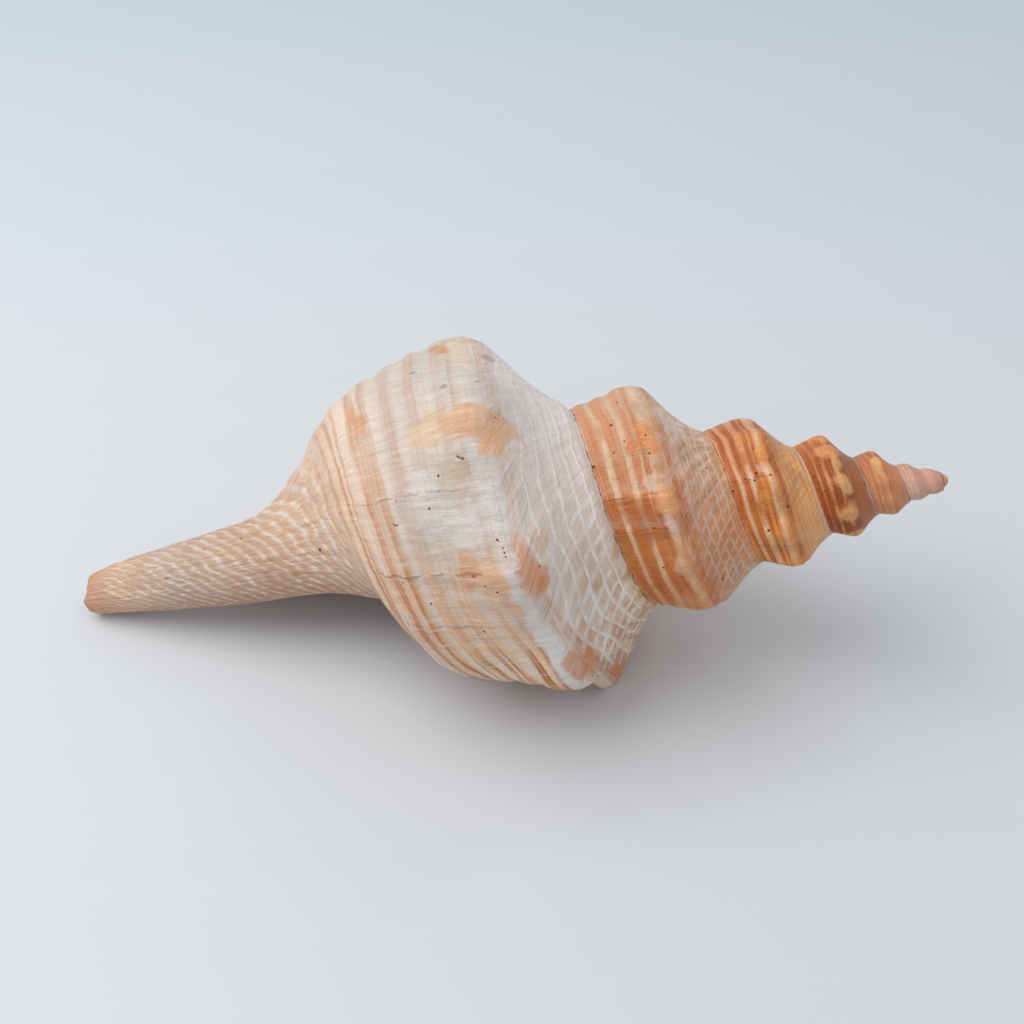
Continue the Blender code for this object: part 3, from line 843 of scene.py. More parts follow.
# Deep colour of the pigment bands by growth stage.
DEEP_COLOURS = (
    (-8, .88, .52, .38), (-6.4, .88, .53, .41), (-5.5, .86, .51, .35), (-4.8, .72, .38, .18), (-4.3, .72, .43, .25),
    (-3.8, .5, .22, .06), (-3.3, .56, .25, .06), (-3.1, .74, .41, .18), (-2.7, .72, .4, .14), (-2.3, .67, .32, .09),
    (-2, .68, .38, .19), (-1.6, .76, .47, .28), (-1.51, .75, .43, .21), (-1.495, .78, .38, .11),
    (-1.45, .75, .39, .12), (-1.43, .76, .45, .21), (-1.37, .76, .37, .12), (-1.3, .78, .46, .28),
    (-1.1, .84, .59, .43), (-.8, .64, .37, .17), (-.6, .66, .38, .18), (-.45, .77, .5, .32), (-.3, .8, .59, .46),
    (0, .79, .58, .44))
# Pale colour of the bands by growth stage.
PALE_COLOURS = (
    (-8, .86, .6, .5), (-6.4, .94, .78, .71), (-5.2, .93, .75, .65), (-4.5, .92, .65, .46), (-3.6, .93, .66, .39),
    (-3, .92, .71, .48), (-2.4, .92, .75, .59), (-2, .86, .72, .58), (-1.5, .9, .71, .53), (-1.2, .88, .73, .61),
    (-.9, .87, .77, .66), (-.6, .91, .85, .8), (-.4, .87, .82, .79), (0, .93, .82, .7))
# Contrast of the bands by growth stage, on the side and below it.
BAND_STRENGTH = (
    (-8, .1), (-6, .2), (-4.5, .45), (-3.1, .5), (-2.7, .8), (-2.2, .85), (-1.6, .85), (-1.2, .75), (-.85, .85),
    (-.62, 1.0), (-.54, .95), (-.5, .75), (-.47, .35), (-.42, .28), (-.36, .4), (-.25, .58), (-.1, .5), (0, .7))
# Pigment bands that wind along the shell: (whorl-scale distance, 0 pale to 1 deep).
BANDS = (
    (1.15, .5), (1.185, .55), (1.205, .85), (1.225, .78), (1.243, .45), (1.262, .1), (1.283, .05), (1.297, .45),
    (1.306, .88), (1.316, .5), (1.327, .42), (1.338, .85), (1.35, .9), (1.36, .45), (1.374, .15), (1.392, .2),
    (1.403, .45), (1.415, .85), (1.425, .55), (1.434, .82), (1.446, .45), (1.456, .15), (1.468, .25), (1.48, .7),
    (1.493, .85), (1.503, .5), (1.511, .75), (1.521, .3), (1.536, .18), (1.549, .6), (1.56, .92), (1.573, .52),
    (1.588, .62), (1.602, .92), (1.614, .5), (1.627, .22), (1.641, .35), (1.655, .75), (1.668, .5), (1.682, .85),
    (1.696, .3), (1.712, .75), (1.735, .45), (1.75, .3), (1.765, .7), (1.785, .5))
# Ground colour of the ramp between suture and shoulder, lightened as painted light to lift the shade the ramp lies in.
RAMP_COLOURS = (
    (-8, 1.0, .68, .55), (-7, 1.0, .72, .6), (-6.2, 1.0, .78, .7), (-5.4, .95, .73, .63), (-4.8, .87, .6, .43),
    (-4.3, .93, .6, .4), (-3.6, .74, .44, .27), (-3.2, .7, .45, .28), (-2.95, .74, .49, .3), (-2.6, .96, .68, .42),
    (-2.3, .97, .67, .37), (-2, .9, .64, .44), (-1.75, .84, .6, .43), (-1.6, .88, .61, .41), (-1.5, .82, .52, .31),
    (-1.35, .89, .72, .6), (-1.22, .89, .78, .69), (-1, .88, .76, .64), (-.8, .92, .76, .58), (-.65, .92, .79, .64),
    (-.5, .88, .8, .73), (-.3, .92, .89, .88), (0, .96, .91, .88))
# Ground colour of the base below the side of the last whorl.
BASE_COLOURS = (
    (-1, .76, .56, .4), (-.8, .72, .47, .29), (-.62, .76, .53, .35), (-.5, .78, .57, .41), (-.4, .89, .71, .58),
    (-.25, .95, .85, .77), (0, .95, .79, .67))
# Colour along the canal by its share.
CANAL_COLOURS = (
    (0, .91, .79, .65), (.15, .9, .75, .63), (.4, .82, .66, .54), (.62, .81, .68, .59), (.72, .8, .69, .61),
    (.85, .9, .75, .62), (.94, .88, .67, .55), (1, .87, .64, .49))
KNOB_COLOURS = (
    (-8, .8, .46, .34), (-5.5, .92, .65, .49), (-4.5, .93, .6, .39), (-3.5, .92, .67, .45), (-2.6, .94, .64, .33),
    (-2.2, .9, .56, .27), (-1.9, .85, .54, .32), (-1.56, .88, .52, .25), (-1.46, .87, .49, .19),
    (-1.35, .83, .44, .16), (-1.2, .88, .56, .33), (-.9, .75, .5, .32), (-.665, .75, .46, .25),
    (-.514, .85, .55, .31), (-.361, .81, .63, .46), (-.217, .81, .69, .57), (0, .83, .65, .5))
KNOB_STRENGTH = (
    (-8, .2), (-5, .5), (-3.5, .8), (-2.6, .5), (-2.2, .4), (-1.9, .4), (-1.5, .35), (-1.3, .35), (-1.1, .5),
    (-.9, .7), (-.768, .65), (-.7, .3), (-.6, .1), (-.2, .1), (-.15, .45), (0, .6))
LATTICE_STRENGTH = (
    (-3, .0), (-2.2, .25), (-1.05, .35), (-.72, .7), (-.6, .8), (-.48, .6), (-.4, .3), (-.3, .15), (0, .3))
WHITE_STRENGTH = (
    (-6, .0), (-4.6, .1), (-3.2, .12), (-2.6, .3), (-2.1, .3), (-1.8, .4), (-1.3, .5), (-1.1, .5), (-.9, .7),
    (-.6, .9), (-.3, .8), (0, .5))
# Patches of colour: (growth stage, whorl-scale distance, half sizes, colour, strength).
PATCHES = (
    (-.455, 1.36, .03, .11, (.86, .84, .83), .65), (-.595, 1.265, .06, .028, (.89, .88, .87), .85),
    (-.376, 1.4, .019, .07, (.89, .75, .62), .8), (-.38, 1.26, .017, .085, (.87, .66, .5), .9),
    (-.425, 1.345, .022, .04, (.76, .67, .56), .75), (-.514, 1.358, .02, .03, (.84, .54, .31), .95),
    (-.52, 1.312, .02, .026, (.87, .66, .49), .85), (-.509, 1.215, .022, .028, (.84, .55, .34), .95),
    (-.49, 1.165, .014, .018, (.86, .68, .53), .6), (-.634, 1.21, .019, .03, (.82, .52, .31), .95),
    (-.66, 1.34, .018, .045, (.84, .6, .42), .75), (-.728, 1.19, .017, .018, (.84, .52, .32), .9),
    (-.249, 1.338, .012, .02, (.84, .58, .38), .85), (-.262, 1.285, .028, .034, (.88, .77, .64), .6),
    (-.332, 1.588, .02, .016, (.86, .6, .41), .75), (-1.372, 1.27, .02, .034, (.89, .54, .25), .9),
    (-1.388, 1.33, .012, .03, (.87, .52, .24), .75), (-1.462, 1.27, .018, .042, (.93, .71, .5), .9),
    (-1.435, 1.3, .011, .03, (.88, .78, .72), .7), (-1.5, 1.272, .017, .02, (.88, .78, .7), .7),
    (-1.47, 1.42, .018, .075, (.72, .4, .15), .8), (-1.56, 1.28, .02, .028, (.88, .73, .6), .6),
    (-1.64, 1.34, .03, .06, (.78, .56, .4), .5), (-2.376, 1.28, .026, .032, (.94, .62, .3), .85),
    (-2.476, 1.32, .026, .04, (.93, .62, .3), .85), (-2.412, 1.28, .012, .032, (.9, .74, .6), .7),
    (-3.372, 1.25, .026, .042, (.93, .7, .48), .9), (-3.457, 1.23, .026, .045, (.94, .74, .53), .9),
    (-3.53, 1.22, .024, .045, (.84, .6, .4), .75), (-4.362, 1.3, .05, .065, (.97, .78, .54), .9))
# Strength of the pale growth lines.
AXIAL_STRENGTH = (
    (-8, .0), (-1.2, .12), (-.6, .2), (-.53, .35), (-.47, .5), (-.38, .45), (-.33, .3), (0, .25))
# Stains on the shoulder: (growth stage, whorl-scale distance, radius in metres, colour).
STAINS = (
    (-.339, 1.326, .0015, (.56, .54, .54)), (-.333, 1.237, .0013, (.6, .58, .6)),
    (-.262, 1.2, .0026, (.66, .57, .52)), (-.295, 1.405, .0018, (.62, .56, .54)),
    (-.246, 1.342, .0024, (.78, .52, .36)), (-.24, 1.455, .0032, (.84, .6, .42)))
# Colours that are the same wherever they show.
CANAL_TAN = (.74, .54, .37)
CELLS = (.77, .57, .41)
MOTTLE = (.64, .45, .30)
FURROW = (.66, .58, .52)
BLOTCH = (.74, .58, .47)
CHALK = (.82, .80, .80)
PALE_LINES = (.88, .86, .85)
# dark line of the healed breaks: the crack's brown with painted shadow in its groove
CRACK_AND_SHADOW = (.55, .41, .33)
HEALED = (.86, .80, .75)
# thin painted shadow line along the sutures, between the dirt blobs
SUTURE_SHADOW_LINE = (.50, .32, .22)
RIM = (.80, .73, .73)
HALO = (.66, .46, .32)
HOLE = (.44, .24, .13)
# Enamel of the mouth: (turns behind the lip, colour); it darkens deeper in as painted shade.
ENAMEL_EDGE = (0.0, .90, .70, .56)
ENAMEL_DEEP = (2.3, .66, .30, .15)
# From one line of the pattern to the next: round the shell in whorl scale, across it in turns.
CORD_SPACING = 0.0345
THREAD_SPACING = 0.0148
CANAL_CORD_SPACING = 0.0455
LATTICE_SPACING = 0.0245
CROSS_SPACING = 0.021
CORD_BEND_SPACING = 0.150
CORD_BEND_AT = -0.514


def new_material(name):
    material = bpy.data.materials.new(name)
    material.use_nodes = True
    material.node_tree.nodes.clear()
    return material, Wiring(material.node_tree)


def shell_surface(settings):
    """Weathered, half glossy shell with its growth pattern."""
    material, w = new_material("weathered_shell")
    ease, line, band_of, noise, ramp = w.ease, w.line, w.band, w.noise, w.ramp

    def attribute(name, output="Fac"):
        return w.out("ShaderNodeAttribute", None, output, attribute_name=name, attribute_type="GEOMETRY")

    def pattern(along, across, seed, *more):
        return noise(w.vector(along, across, seed), 1.0, *more)

    def ripple(*values):
        return pattern(*values) - 0.5

    stage, down, _ = w.outs("ShaderNodeSeparateXYZ", {0: w.out("ShaderNodeUVMap", uv_map="growth")})
    spot = w.out("ShaderNodeTexCoord", None, "Object")
    knob, canal, inside = attribute("knob"), attribute("canal"), attribute("inside")

    slow = w.waver(spot, 24.0, 2.0)
    fine = w.waver(spot, 170.0, 3.0)
    grain = w.waver(spot, 900.0, 2.0, 0.6)
    cloud = noise(spot, 42.0, 4.0, 0.6)
    cloudy = cloud - 0.5
    wave = ripple(stage * 12.0, down * 3.0, 1.0)
    level = down + slow * 0.016 + fine * 0.0035 + wave * 0.028
    trail = (w.math("MINIMUM", down, LINE_SLANT_UNTIL) - 1.0) * LINE_SLANT
    lag = stage + trail + slow * 0.012 + fine * 0.003
    last = ease(stage, -1.004, -0.996)
    lean = level + ease(stage, -0.53, -0.70) * last * 0.04

    # ground
    ragged = level + cloudy * 0.16
    on_ramp = ease(ragged, 1.30, 1.12)
    coat = Coat(w, ramp(lag, SIDE_COLOURS))
    coat.lay(on_ramp, ramp(lag, RAMP_COLOURS))
    coat.lay(ease(level, 1.46, 1.68) * last, ramp(lag, BASE_COLOURS))
    # darker tan over the lower side of the canal: its own tan and partly painted shade
    tan = ease(lag + slow * 0.25 + cloudy * 0.35, -0.46, -0.70) * 0.85 * ease(canal, 0.97, 0.80)
    along_canal = w.mix(tan, ramp(canal + slow * 0.05, CANAL_COLOURS), linear(*CANAL_TAN))
    coat.lay(ease(canal, 0.0, 0.14), along_canal)

    # pigment bands along the growth, drawn out in threads and broken by the growth lines
    growth_lines = ripple(lag * 150.0, down * 6.0, 0.0, 4.0, 0.65)
    hair = ripple(lag * 520.0, down * 12.0, 5.0)
    threads = ripple(lag * 3.5, lean * 95.0, 2.0, 3.0, 0.6)
    strands = ripple(lag * 5.0, lean * 230.0, 4.0, 2.0, 0.6)
    broad = ripple(lag * 5.0, lean * 16.0, 9.0)
    band = (ramp(lean, BANDS) + threads * 0.85 + strands * 0.75 + broad * 0.55 + growth_lines * 0.42
            + hair * 0.2 + cloudy * 0.6)
    contrast = (w.larger(ramp(lag, BAND_STRENGTH), ease(level, 1.46, 1.58) * 0.92)
                * ease(level, 1.16, 1.22, 0.45, 1.0) * ease(canal, 0.30, 0.08, 0.35, 1.0)
                * ease(stage, -0.47, -0.56, 1.0, 1.5))
    broken = ease(pattern(lag * 16.0, level * 9.0, 3.0, 3.0), 0.32, 0.52)
    inner = line(lean + threads * 0.012, THREAD_SPACING, 0.5, 0.20, 0.20)
    runs = ease(pattern(lag * 13.0, lean * 10.0, 6.0), 0.30, 0.52, 0.60, 1.0)
    deep_tint = ramp(lag, DEEP_COLOURS)
    coat.lay(ease(band, 0.50, 0.74) * contrast * runs * (inner * 0.35 + 0.65), deep_tint)
    pale = ease(band, 0.40, 0.10) * contrast * 0.95 * w.larger(broken, ease(lag, -1.2, -0.6))
    coat.lay(pale, ramp(lag, PALE_COLOURS))

    cells = ease(pattern(lag * 42.0, down * 24.0, 3.5, 1.0), 0.44, 0.62)
    coat.lay(cells * on_ramp * ease(lag, -0.42, -0.56) * ease(lag, -2.2, -1.9) * 0.75, CELLS)
    mottle = ease(noise(spot, 105.0, 3.0, 0.6), 0.50, 0.70) * on_ramp * ease(lag, -0.95, -1.15) * 0.40
    coat.lay(mottle, MOTTLE)

    # pale cords: crowded on the ramp, slanting over it, thin on the canal
    bend = (w.math("COSINE", (stage - CORD_BEND_AT) * (2.0 * math.pi / CORD_BEND_SPACING)) * ease(level, 1.0, 1.2)
            * (last * 0.011 + 0.005))
    cord = line(level + wave * 0.01 + bend, CORD_SPACING, 0.97, 0.12, 0.27)
    cord_zone = on_ramp * ease(level, 1.01, 1.03)
    worn = ease(pattern(lag * 22.0, down * 32.0, 7.0, 3.0), 0.34, 0.58, 0.35, 1.0)
    white = cord * cord_zone * worn * ramp(lag, WHITE_STRENGTH)
    slanting = (line(lag + fine * 0.012 + wave * 0.022, LATTICE_SPACING, 0.5, 0.11, 0.20) * on_ramp
                * ramp(lag, LATTICE_STRENGTH) * ease(level, 1.0, 1.04) * worn)
    beads = pattern(lag * 55.0, down * 17.0, 2.5, 2.0, 0.6)
    sloped = level + lag * 0.09 + wave * 0.04 + (beads - 0.5) * 0.022
    on_cords = ease(level, 1.66, 1.80) * ease(canal, 0.99, 0.88) * last
    canal_cord = line(sloped, CANAL_CORD_SPACING, 0.5, 0.16, 0.20) * on_cords
    cross = line(lag + fine * 0.012, CROSS_SPACING, 0.5, 0.10, 0.16) * on_cords * ease(canal, 0.7, 0.1) * 0.3
    thin = w.larger(canal_cord, cross) * 0.62 * ease(beads, 0.34, 0.62, 0.25, 1.0)
    between = line(sloped, CANAL_CORD_SPACING, 0.02, 0.10, 0.20) * on_cords * 0.5 * ease(beads, 0.62, 0.38)
    furrow = (1.0 - w.larger(cord, slanting)) * cord_zone * ease(lag, -0.9, -0.7, 0.0, 0.12)
    coat.lay(between, opaque(settings.stripe_colour))
    coat.lay(furrow, FURROW)
    coat.lay(w.larger(white, slanting, thin), opaque(settings.cord_colour))
    coat.lay(ease(noise(spot, 75.0, 3.0, 0.6), 0.48, 0.68) * on_cords * 0.40, BLOTCH)

    # chalky bluish white round the shoulder of the last whorl
    chalk = ease(pattern(lag * 9.0, level * 14.0, 8.0, 4.0, 0.6), 0.44, 0.62)
    coat.lay(chalk * band_of(level, 1.13, 1.40, 0.07) * band_of(lag, -0.58, -0.20, 0.05) * 0.5, CHALK)

    # patches and pale growth lines
    along = stage + slow * 0.02 + cloudy * 0.050 + fine * 0.035
    across = down + slow * 0.04 + cloudy * 0.13 + fine * 0.06
    clouded = ease(cloud, 0.30, 0.58, 0.65, 1.0)
    for place, down_at, long, wide, colour, strength in PATCHES:
        ahead, aside = (along - place) * (1.0 / long), (across - down_at) * (1.0 / wide)
        coat.lay(ease(ahead * ahead + aside * aside, 1.9, 0.25) * clouded * strength, colour)
    axial = ease(pattern(lag * 260.0, down * 10.0, 11.0, 2.0, 0.6), 0.50, 0.72)
    coat.lay(axial * ramp(lag, AXIAL_STRENGTH) * ease(level, 1.12, 1.24, 0.3, 1.0), PALE_LINES)

    # orange showing on the knobs between the pale bands
    patch = (ease(knob + cloudy * 1.9 + fine * 0.5 + threads * 0.5, 0.62, 1.10) * ramp(lag, KNOB_STRENGTH)
             * ease(ragged, 1.08, 1.18) * ease(level, 1.46, 1.38))
    gap = band_of(level, 1.262, 1.284, 0.012) * ease(cloud, 0.30, 0.60, 1.0, 0.45)
    coat.lay(patch * (1.0 - gap), ramp(lag, KNOB_COLOURS))

    # the hollows between the knobs of the spire are browner: partly their own brown, partly painted shade
    hollow = ease(knob + cloudy * 0.5, 0.75, 0.15) * band_of(level, 1.15, 1.46, 0.06)
    coat.lay(hollow * ease(lag, -1.1, -1.5) * ease(lag, -5.2, -4.2) * 0.30, deep_tint)

    # growth lines, lighter and darker: their own tone and painted shade of their fine relief
    ramp_soft = ease(level, 1.14, 1.26, 0.55, 1.0)
    shade = growth_lines * ramp_soft * 0.56 + hair * ramp_soft * 0.38 + grain * 0.13
    line_tone_and_shade = w.vector(shade + 1.0, shade * 1.15 + 1.0, shade * 1.3 + 1.0)
    coat.colour = w.mix(1.0, coat.colour, line_tone_and_shade, blend="MULTIPLY")

    # healed breaks: a dark line at each, partly the crack's brown and partly painted shadow in its groove, and paler on
    # the raised step beside it
    ragged_lag = lag + w.waver(spot, 330.0, 3.0, 0.6) * 0.009
    crack_and_shadow = w.larger(*(ease(w.math("ABSOLUTE", ragged_lag - place), 0.0019, 0.0004, 0.0, depth)
                       for place, depth in SCARS))
    crack_and_shadow = (crack_and_shadow * ease(level, 1.12, 1.25, 0.25, 1.0) * ease(level, 1.75, 1.60)
             * ease(pattern(lag * 3.0, down * 13.0, 0.5, 3.0), 0.38, 0.52))
    coat.lay(crack_and_shadow * 0.62, CRACK_AND_SHADOW)
    coat.lay(ease(attribute("scar"), 0.10, 0.36) * 0.22, HEALED)

    # dirt in the sutures: dark blobs of lodged dirt, joined by a thin painted shadow line along the suture edge
    lodged = pattern(lag * 60.0, 0.0, 0.0, 3.0, 0.6)
    reach = ease(lodged, 0.46, 0.66, 0.0016, 0.0060)
    under = ease(GROWTH - down, reach, reach * 0.6) * ease(stage, -0.999, -1.001)
    dirt = w.larger(ease(down, 1.0022, 1.0006), under) * ease(stage, -6.2, -5.0) * ease(inside, 0.3, 0.1)
    coat.lay(dirt * ease(lodged, 0.42, 0.64, 0.55, 1.0),
             w.mix(ease(lodged, 0.48, 0.60), linear(*SUTURE_SHADOW_LINE), opaque(settings.dirt_colour)))
    rim_white = band_of(level, 1.006, 1.03, 0.007) * ease(stage, -1.9, -2.3) * ease(cloud, 0.35, 0.6, 0.2, 0.70)
    coat.lay(rim_white, RIM)

    # stains
    for place, down_at, size, colour in STAINS:
        away = w.arrows("DISTANCE", spot, point_on_shell(place, down_at), "Value")
        coat.lay(ease(away + cloudy * (size * 1.6) + fine * size, size, size * 0.35) * 0.7, colour)

    # bore holes
    jitter = w.out("ShaderNodeTexNoise", {"Vector": spot, "Scale": 1300.0, "Detail": 1.0}, "Color")
    jitter = w.arrows("SCALE", w.arrows("ADD", jitter, (-0.5, -0.5, -0.5)), 0.0002)
    away = w.arrows("DISTANCE", w.arrows("ADD", spot, jitter), attribute("bore_place", "Vector"), "Value")
    away = away / w.larger(attribute("bore_size"), 0.00005)
    hole = ease(away, 1.05, 0.65)
    coat.lay(ease(away, 1.7, 1.0) * 0.30, HALO)
    coat.lay(hole, HOLE)

    # inside of the lip and the hollow, its enamel darkening deeper in as painted shade
    mouth = ease(inside, 0.25, 0.9)
    coat.lay(mouth, ramp(slow * 0.2 - stage, (ENAMEL_EDGE, (.06, *opaque(settings.mouth_colour)), ENAMEL_DEEP)))

    # height of what the mesh is too coarse for
    wrinkles = ripple(lag * 62.0, down * 19.0, 6.0, 4.0, 0.6, 0.8)
    height = (cord * cord_zone * 0.00020 + slanting * 0.00008 + canal_cord * 0.00018 + cross * 0.00010
              + threads * 0.00022 - band * contrast * 0.00010 + growth_lines * ramp_soft * 0.00024
              + hair * 0.00004 + wrinkles * ramp_soft * 0.00050 + strands * 0.00007 + fine * 0.00030
              + grain * 0.00003)
    lirae = w.math("SINE", down * 210.0) * mouth * 0.00006
    height = height * (1.0 - mouth * 0.92) - hole * 0.0002 + lirae - crack_and_shadow * 0.00020
    bump = w.out("ShaderNodeBump", {"Height": height, "Strength": 1.0, "Distance": 1.0})

    gloss = growth_lines * 0.20 + 0.36 + cloudy * 0.45 + hole * 0.4 + dirt * 0.3 - mouth * 0.16
    surface = w.out("ShaderNodeBsdfPrincipled", {"Base Color": coat.colour, "Roughness": w.larger(gloss, 0.16),
                                                 "Normal": bump, "IOR": 1.53, "Specular IOR Level": 0.28,
                                                 "Metallic": 0.0})
    w.node("ShaderNodeOutputMaterial", {"Surface": surface})
    return material


# ---------------------------------------------------------------- stage
FLOOR_SIDE = 4.0
# Lights: name, place, diameter and colour; the powers are settings.
LIGHTS = (("key", (-0.56, 0.06, 0.90), 1.00, (1.0, 0.985, 0.955)),
          ("fill", (-0.35, -0.9, 0.75), 0.9, (0.97, 0.98, 1.0)),
          ("glint", (0.30, 0.50, 0.72), 0.16, (1.0, 0.99, 0.98)))
LIGHT_AIM = (0.0, 0.0, 0.03)
SKY_COLOUR = (0.935, 0.97, 1.0, 1.0)
CAMERA_PLACE = (0.00527, -0.26074, 0.30598)
CAMERA_TILT = math.radians(44.0)
SENSOR_WIDTH = 36.0


def floor_surface(settings):
    """Plain pale floor, painted a little cooler and deeper further off as shade where the light falls off."""
    material, w = new_material("pale_floor")
    x, y, _ = w.outs("ShaderNodeSeparateXYZ", {0: w.out("ShaderNodeTexCoord", None, "Object")})
    grain = w.waver(w.vector(x * 6.0, y * 90.0, 0.0), 1.0, 3.0)
    near, far = opaque(settings.floor_near), opaque(settings.floor_far)
    colour = w.ramp(y, ((-0.25, *near), (0.10, *near), (0.55, *far), (1.2, *far)))
    shade = grain * 0.02 + 1.0
    colour = w.mix(1.0, colour, w.vector(shade, shade, shade), blend="MULTIPLY")
    bump = w.out("ShaderNodeBump", {"Height": grain * 0.0001, "Strength": 0.6, "Distance": 1.0})
    surface = w.out("ShaderNodeBsdfPrincipled", {"Base Color": colour, "Roughness": 0.5, "Normal": bump})
    w.node("ShaderNodeOutputMaterial", {"Surface": surface})
    return material


def area_light(name, place, size, power, colour):
    """Round light that aims at the shell."""
    data = bpy.data.lights.new(name, "AREA")
    data.shape = "DISK"
    data.size = size
    data.energy = power
    data.color = colour
    light = bpy.data.objects.new(name, data)
    bpy.context.scene.collection.objects.link(light)
    light.location = place
    x, y, z = np.array(LIGHT_AIM) - np.array(place)
    light.rotation_euler = (math.atan2(math.hypot(x, y), -z), 0.0, math.atan2(y, x) - math.pi / 2.0)


# ---------------------------------------------------------------- settings
def distance_setting(name, description, default, **more):
    return FloatProperty(name=name, description=description, default=default, unit="LENGTH", subtype="DISTANCE",
                         **more)


def angle_setting(name, description, default):
    return FloatProperty(name=name, description=description, default=default, unit="ROTATION", subtype="ANGLE")


def power_setting(name, description, default):
    return FloatProperty(name=name, description=description, default=default, unit="POWER")


def colour_setting(name, description, *default):
    return FloatVectorProperty(name=name, description=description, size=3, subtype="COLOR", min=0.0, max=1.0,
                               default=linear(*default)[:3])


class ConchShapeSettings(bpy.types.PropertyGroup):
    whorl_growth: FloatProperty(name="Whorl growth", description="Size of a whorl over the one before",
                                default=GROWTH, min=1.1, max=3.0)
    suture_distance: distance_setting("Suture distance", "From the coiling point to the suture at the lip", SUTURE_DOWN)
    lip_angle: angle_setting("Lip angle", "Where the lip stands, about the axis from straight up", LIP_ANGLE)
    axis_pitch: angle_setting("Axis pitch", "How far the apex is raised", AXIS_PITCH)
    axis_yaw: angle_setting("Axis yaw", "How far the apex is turned", AXIS_YAW)
    canal_drop: distance_setting("Canal drop", "How far the tip of the canal bends down", CANAL_DROP)
    rib_height: distance_setting("Rib height", "Half the height of the broad ribs of the last whorl", 0.00034)
    rib_spacing: FloatProperty(name="Rib spacing", description="From rib to rib, in whorl scale", default=RIB_SPACING)
    scar_depth: distance_setting("Scar depth", "Depth of the healed breaks", 0.0007)
    unevenness: distance_setting("Unevenness", "Irregular growth of the surface", 0.0007)
    bore_density: FloatProperty(name="Bore density", description="Scattered bore holes for each square metre",
                                default=900.0)
    bore_smallest: distance_setting("Smallest bore", "Radius of the smallest bore hole", 0.00018, precision=5)
    bore_largest: distance_setting("Largest bore", "Radius of the largest bore hole", 0.00055, precision=5)
    bore_seed: IntProperty(name="Bore seed", description="Seed of the scattered bore holes", default=4)


class ConchColourSettings(bpy.types.PropertyGroup):
    stripe_colour: colour_setting("Stripes", "Thin tan lines between the ribs", .78, .55, .38)
    cord_colour: colour_setting("Cords", "Raised pale cords", .97, .94, .91)
    dirt_colour: colour_setting("Suture dirt", "Dirt lodged in the sutures", .26, .15, .10)
    mouth_colour: colour_setting("Mouth", "Glossy inside of the lip", .82, .42, .22)


class ConchStageSettings(bpy.types.PropertyGroup):
    floor_near: colour_setting("Floor near", "Floor around the shell", .85, .865, .885)
    floor_far: colour_setting("Floor far", "Floor further off", .735, .81, .85)
    lens: FloatProperty(name="Lens", description="Focal length on a 36 mm wide sensor, in millimetres", default=49.22)
    key_power: power_setting("Key light", "Power of the large soft light above", 6.6)
    glint_power: power_setting("Glint light", "Power of the small light from behind", 0.25)
    fill_power: power_setting("Fill light", "Power of the light from the front", 0.2)
    sky: FloatProperty(name="Surround", description="Brightness of the even light from all round", default=0.59)


# ---------------------------------------------------------------- operators
class CONCH_OT_shell(bpy.types.Operator):
    """Grow the shell: its coil, lip, canal and hollow, with ribs, scars and colours"""
    bl_idname = "conch.shell"
    bl_label = "Shell"

    def execute(self, context):
        shape = context.scene.conch_shape
        sheet = Sheet()
        columns, ring = build_coil(sheet)
        build_apex(sheet, ring)
        build_chamber(sheet, build_groove(sheet, columns))
        material = shell_surface(context.scene.conch_colours)
        mesh = bore_shell(wind_shell(sheet_mesh(sheet), material, shape), material, shape)
        mesh.name = "conch_shell"
        shell = bpy.data.objects.new("conch_shell", mesh)
        context.scene.collection.objects.link(shell)
        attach(shell, BODY)
        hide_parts(NODE)
        return {"FINISHED"}


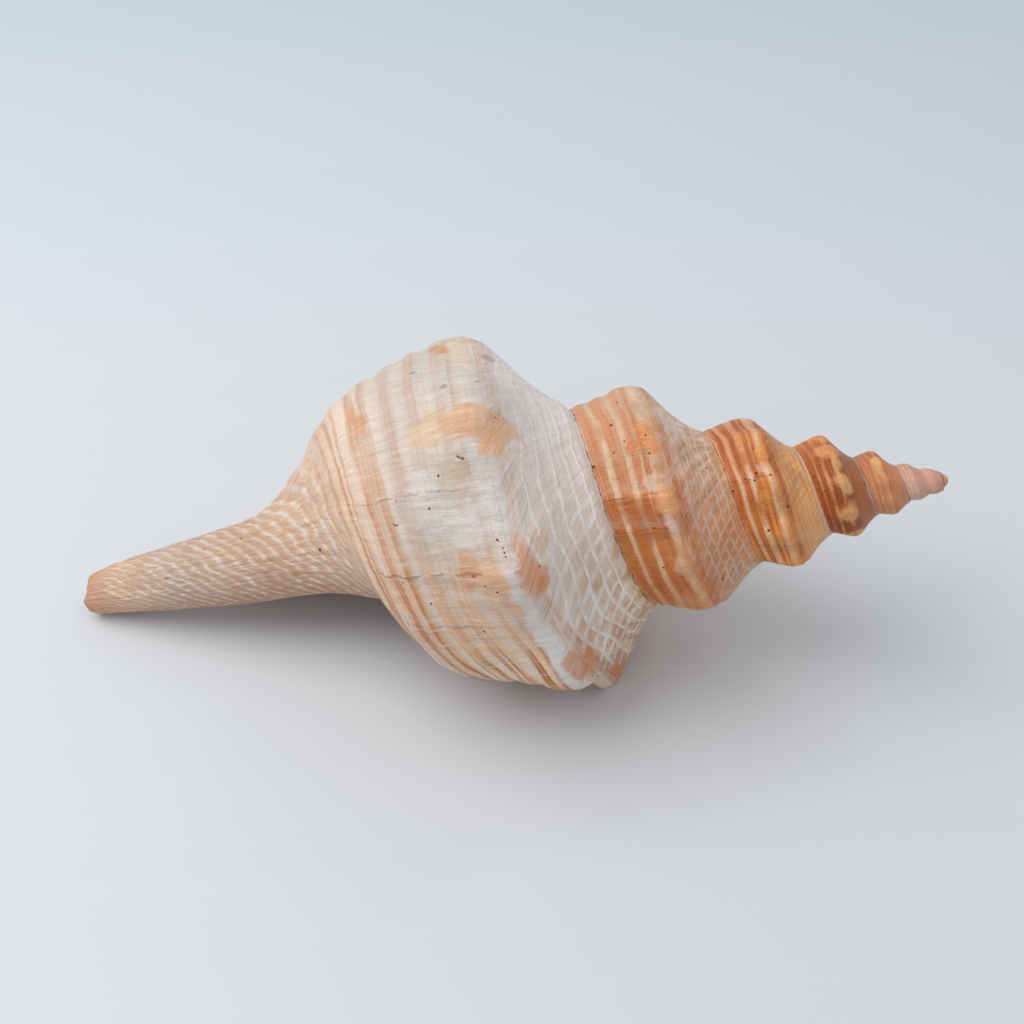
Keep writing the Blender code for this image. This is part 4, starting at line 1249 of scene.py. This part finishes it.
class CONCH_OT_stage(bpy.types.Operator):
    """Lay the pale floor and set up the soft lights and the camera"""
    bl_idname = "conch.stage"
    bl_label = "Stage"

    def execute(self, context):
        scene, stage = context.scene, context.scene.conch_stage
        mesh = bpy.data.meshes.new("floor")
        side = FLOOR_SIDE
        mesh.from_pydata([(-side, -side, 0.0), (side, -side, 0.0), (side, side, 0.0), (-side, side, 0.0)], [],
                         [(0, 1, 2, 3)])
        mesh.materials.append(floor_surface(stage))
        floor = bpy.data.objects.new("floor", mesh)
        scene.collection.objects.link(floor)

        for name, place, size, shade in LIGHTS:
            area_light(name, place, size, getattr(stage, name + "_power"), shade)
        world = bpy.data.worlds.new("surround")
        world.use_nodes = True
        back = world.node_tree.nodes["Background"]
        back.inputs["Color"].default_value = SKY_COLOUR
        back.inputs["Strength"].default_value = stage.sky
        scene.world = world
        scene.view_settings.view_transform = "Standard"

        data = bpy.data.cameras.new("camera")
        data.lens = stage.lens
        data.sensor_width = SENSOR_WIDTH
        data.clip_start = 0.01
        camera = bpy.data.objects.new("camera", data)
        camera.location = CAMERA_PLACE
        camera.rotation_euler = (CAMERA_TILT, 0.0, 0.0)
        scene.collection.objects.link(camera)
        scene.camera = camera
        return {"FINISHED"}


class CONCH_PT_panel(bpy.types.Panel):
    """Sidebar panel with the pieces and the stage"""
    bl_idname = "CONCH_PT_panel"
    bl_label = "Horse conch"
    bl_space_type = "VIEW_3D"
    bl_region_type = "UI"
    bl_category = "Horse conch"

    def draw(self, context):
        scene = context.scene
        for settings in (scene.conch_shape, scene.conch_colours, scene.conch_stage):
            for name in settings.__annotations__:
                self.layout.prop(settings, name)
        for operator in OPERATORS:
            self.layout.operator(operator.bl_idname)


SETTINGS = (("conch_shape", ConchShapeSettings), ("conch_colours", ConchColourSettings),
            ("conch_stage", ConchStageSettings))
OPERATORS = (CONCH_OT_shell, CONCH_OT_stage)


def register():
    for name, group in SETTINGS:
        bpy.utils.register_class(group)
        setattr(bpy.types.Scene, name, PointerProperty(type=group))
    for item in OPERATORS + (CONCH_PT_panel,):
        bpy.utils.register_class(item)


def unregister():
    for item in reversed(OPERATORS + (CONCH_PT_panel,)):
        bpy.utils.unregister_class(item)
    for name, group in reversed(SETTINGS):
        delattr(bpy.types.Scene, name)
        bpy.utils.unregister_class(group)


def main():
    register()
    bpy.ops.conch.shell()
    bpy.ops.conch.stage()


if __name__ == "__main__":
    main()
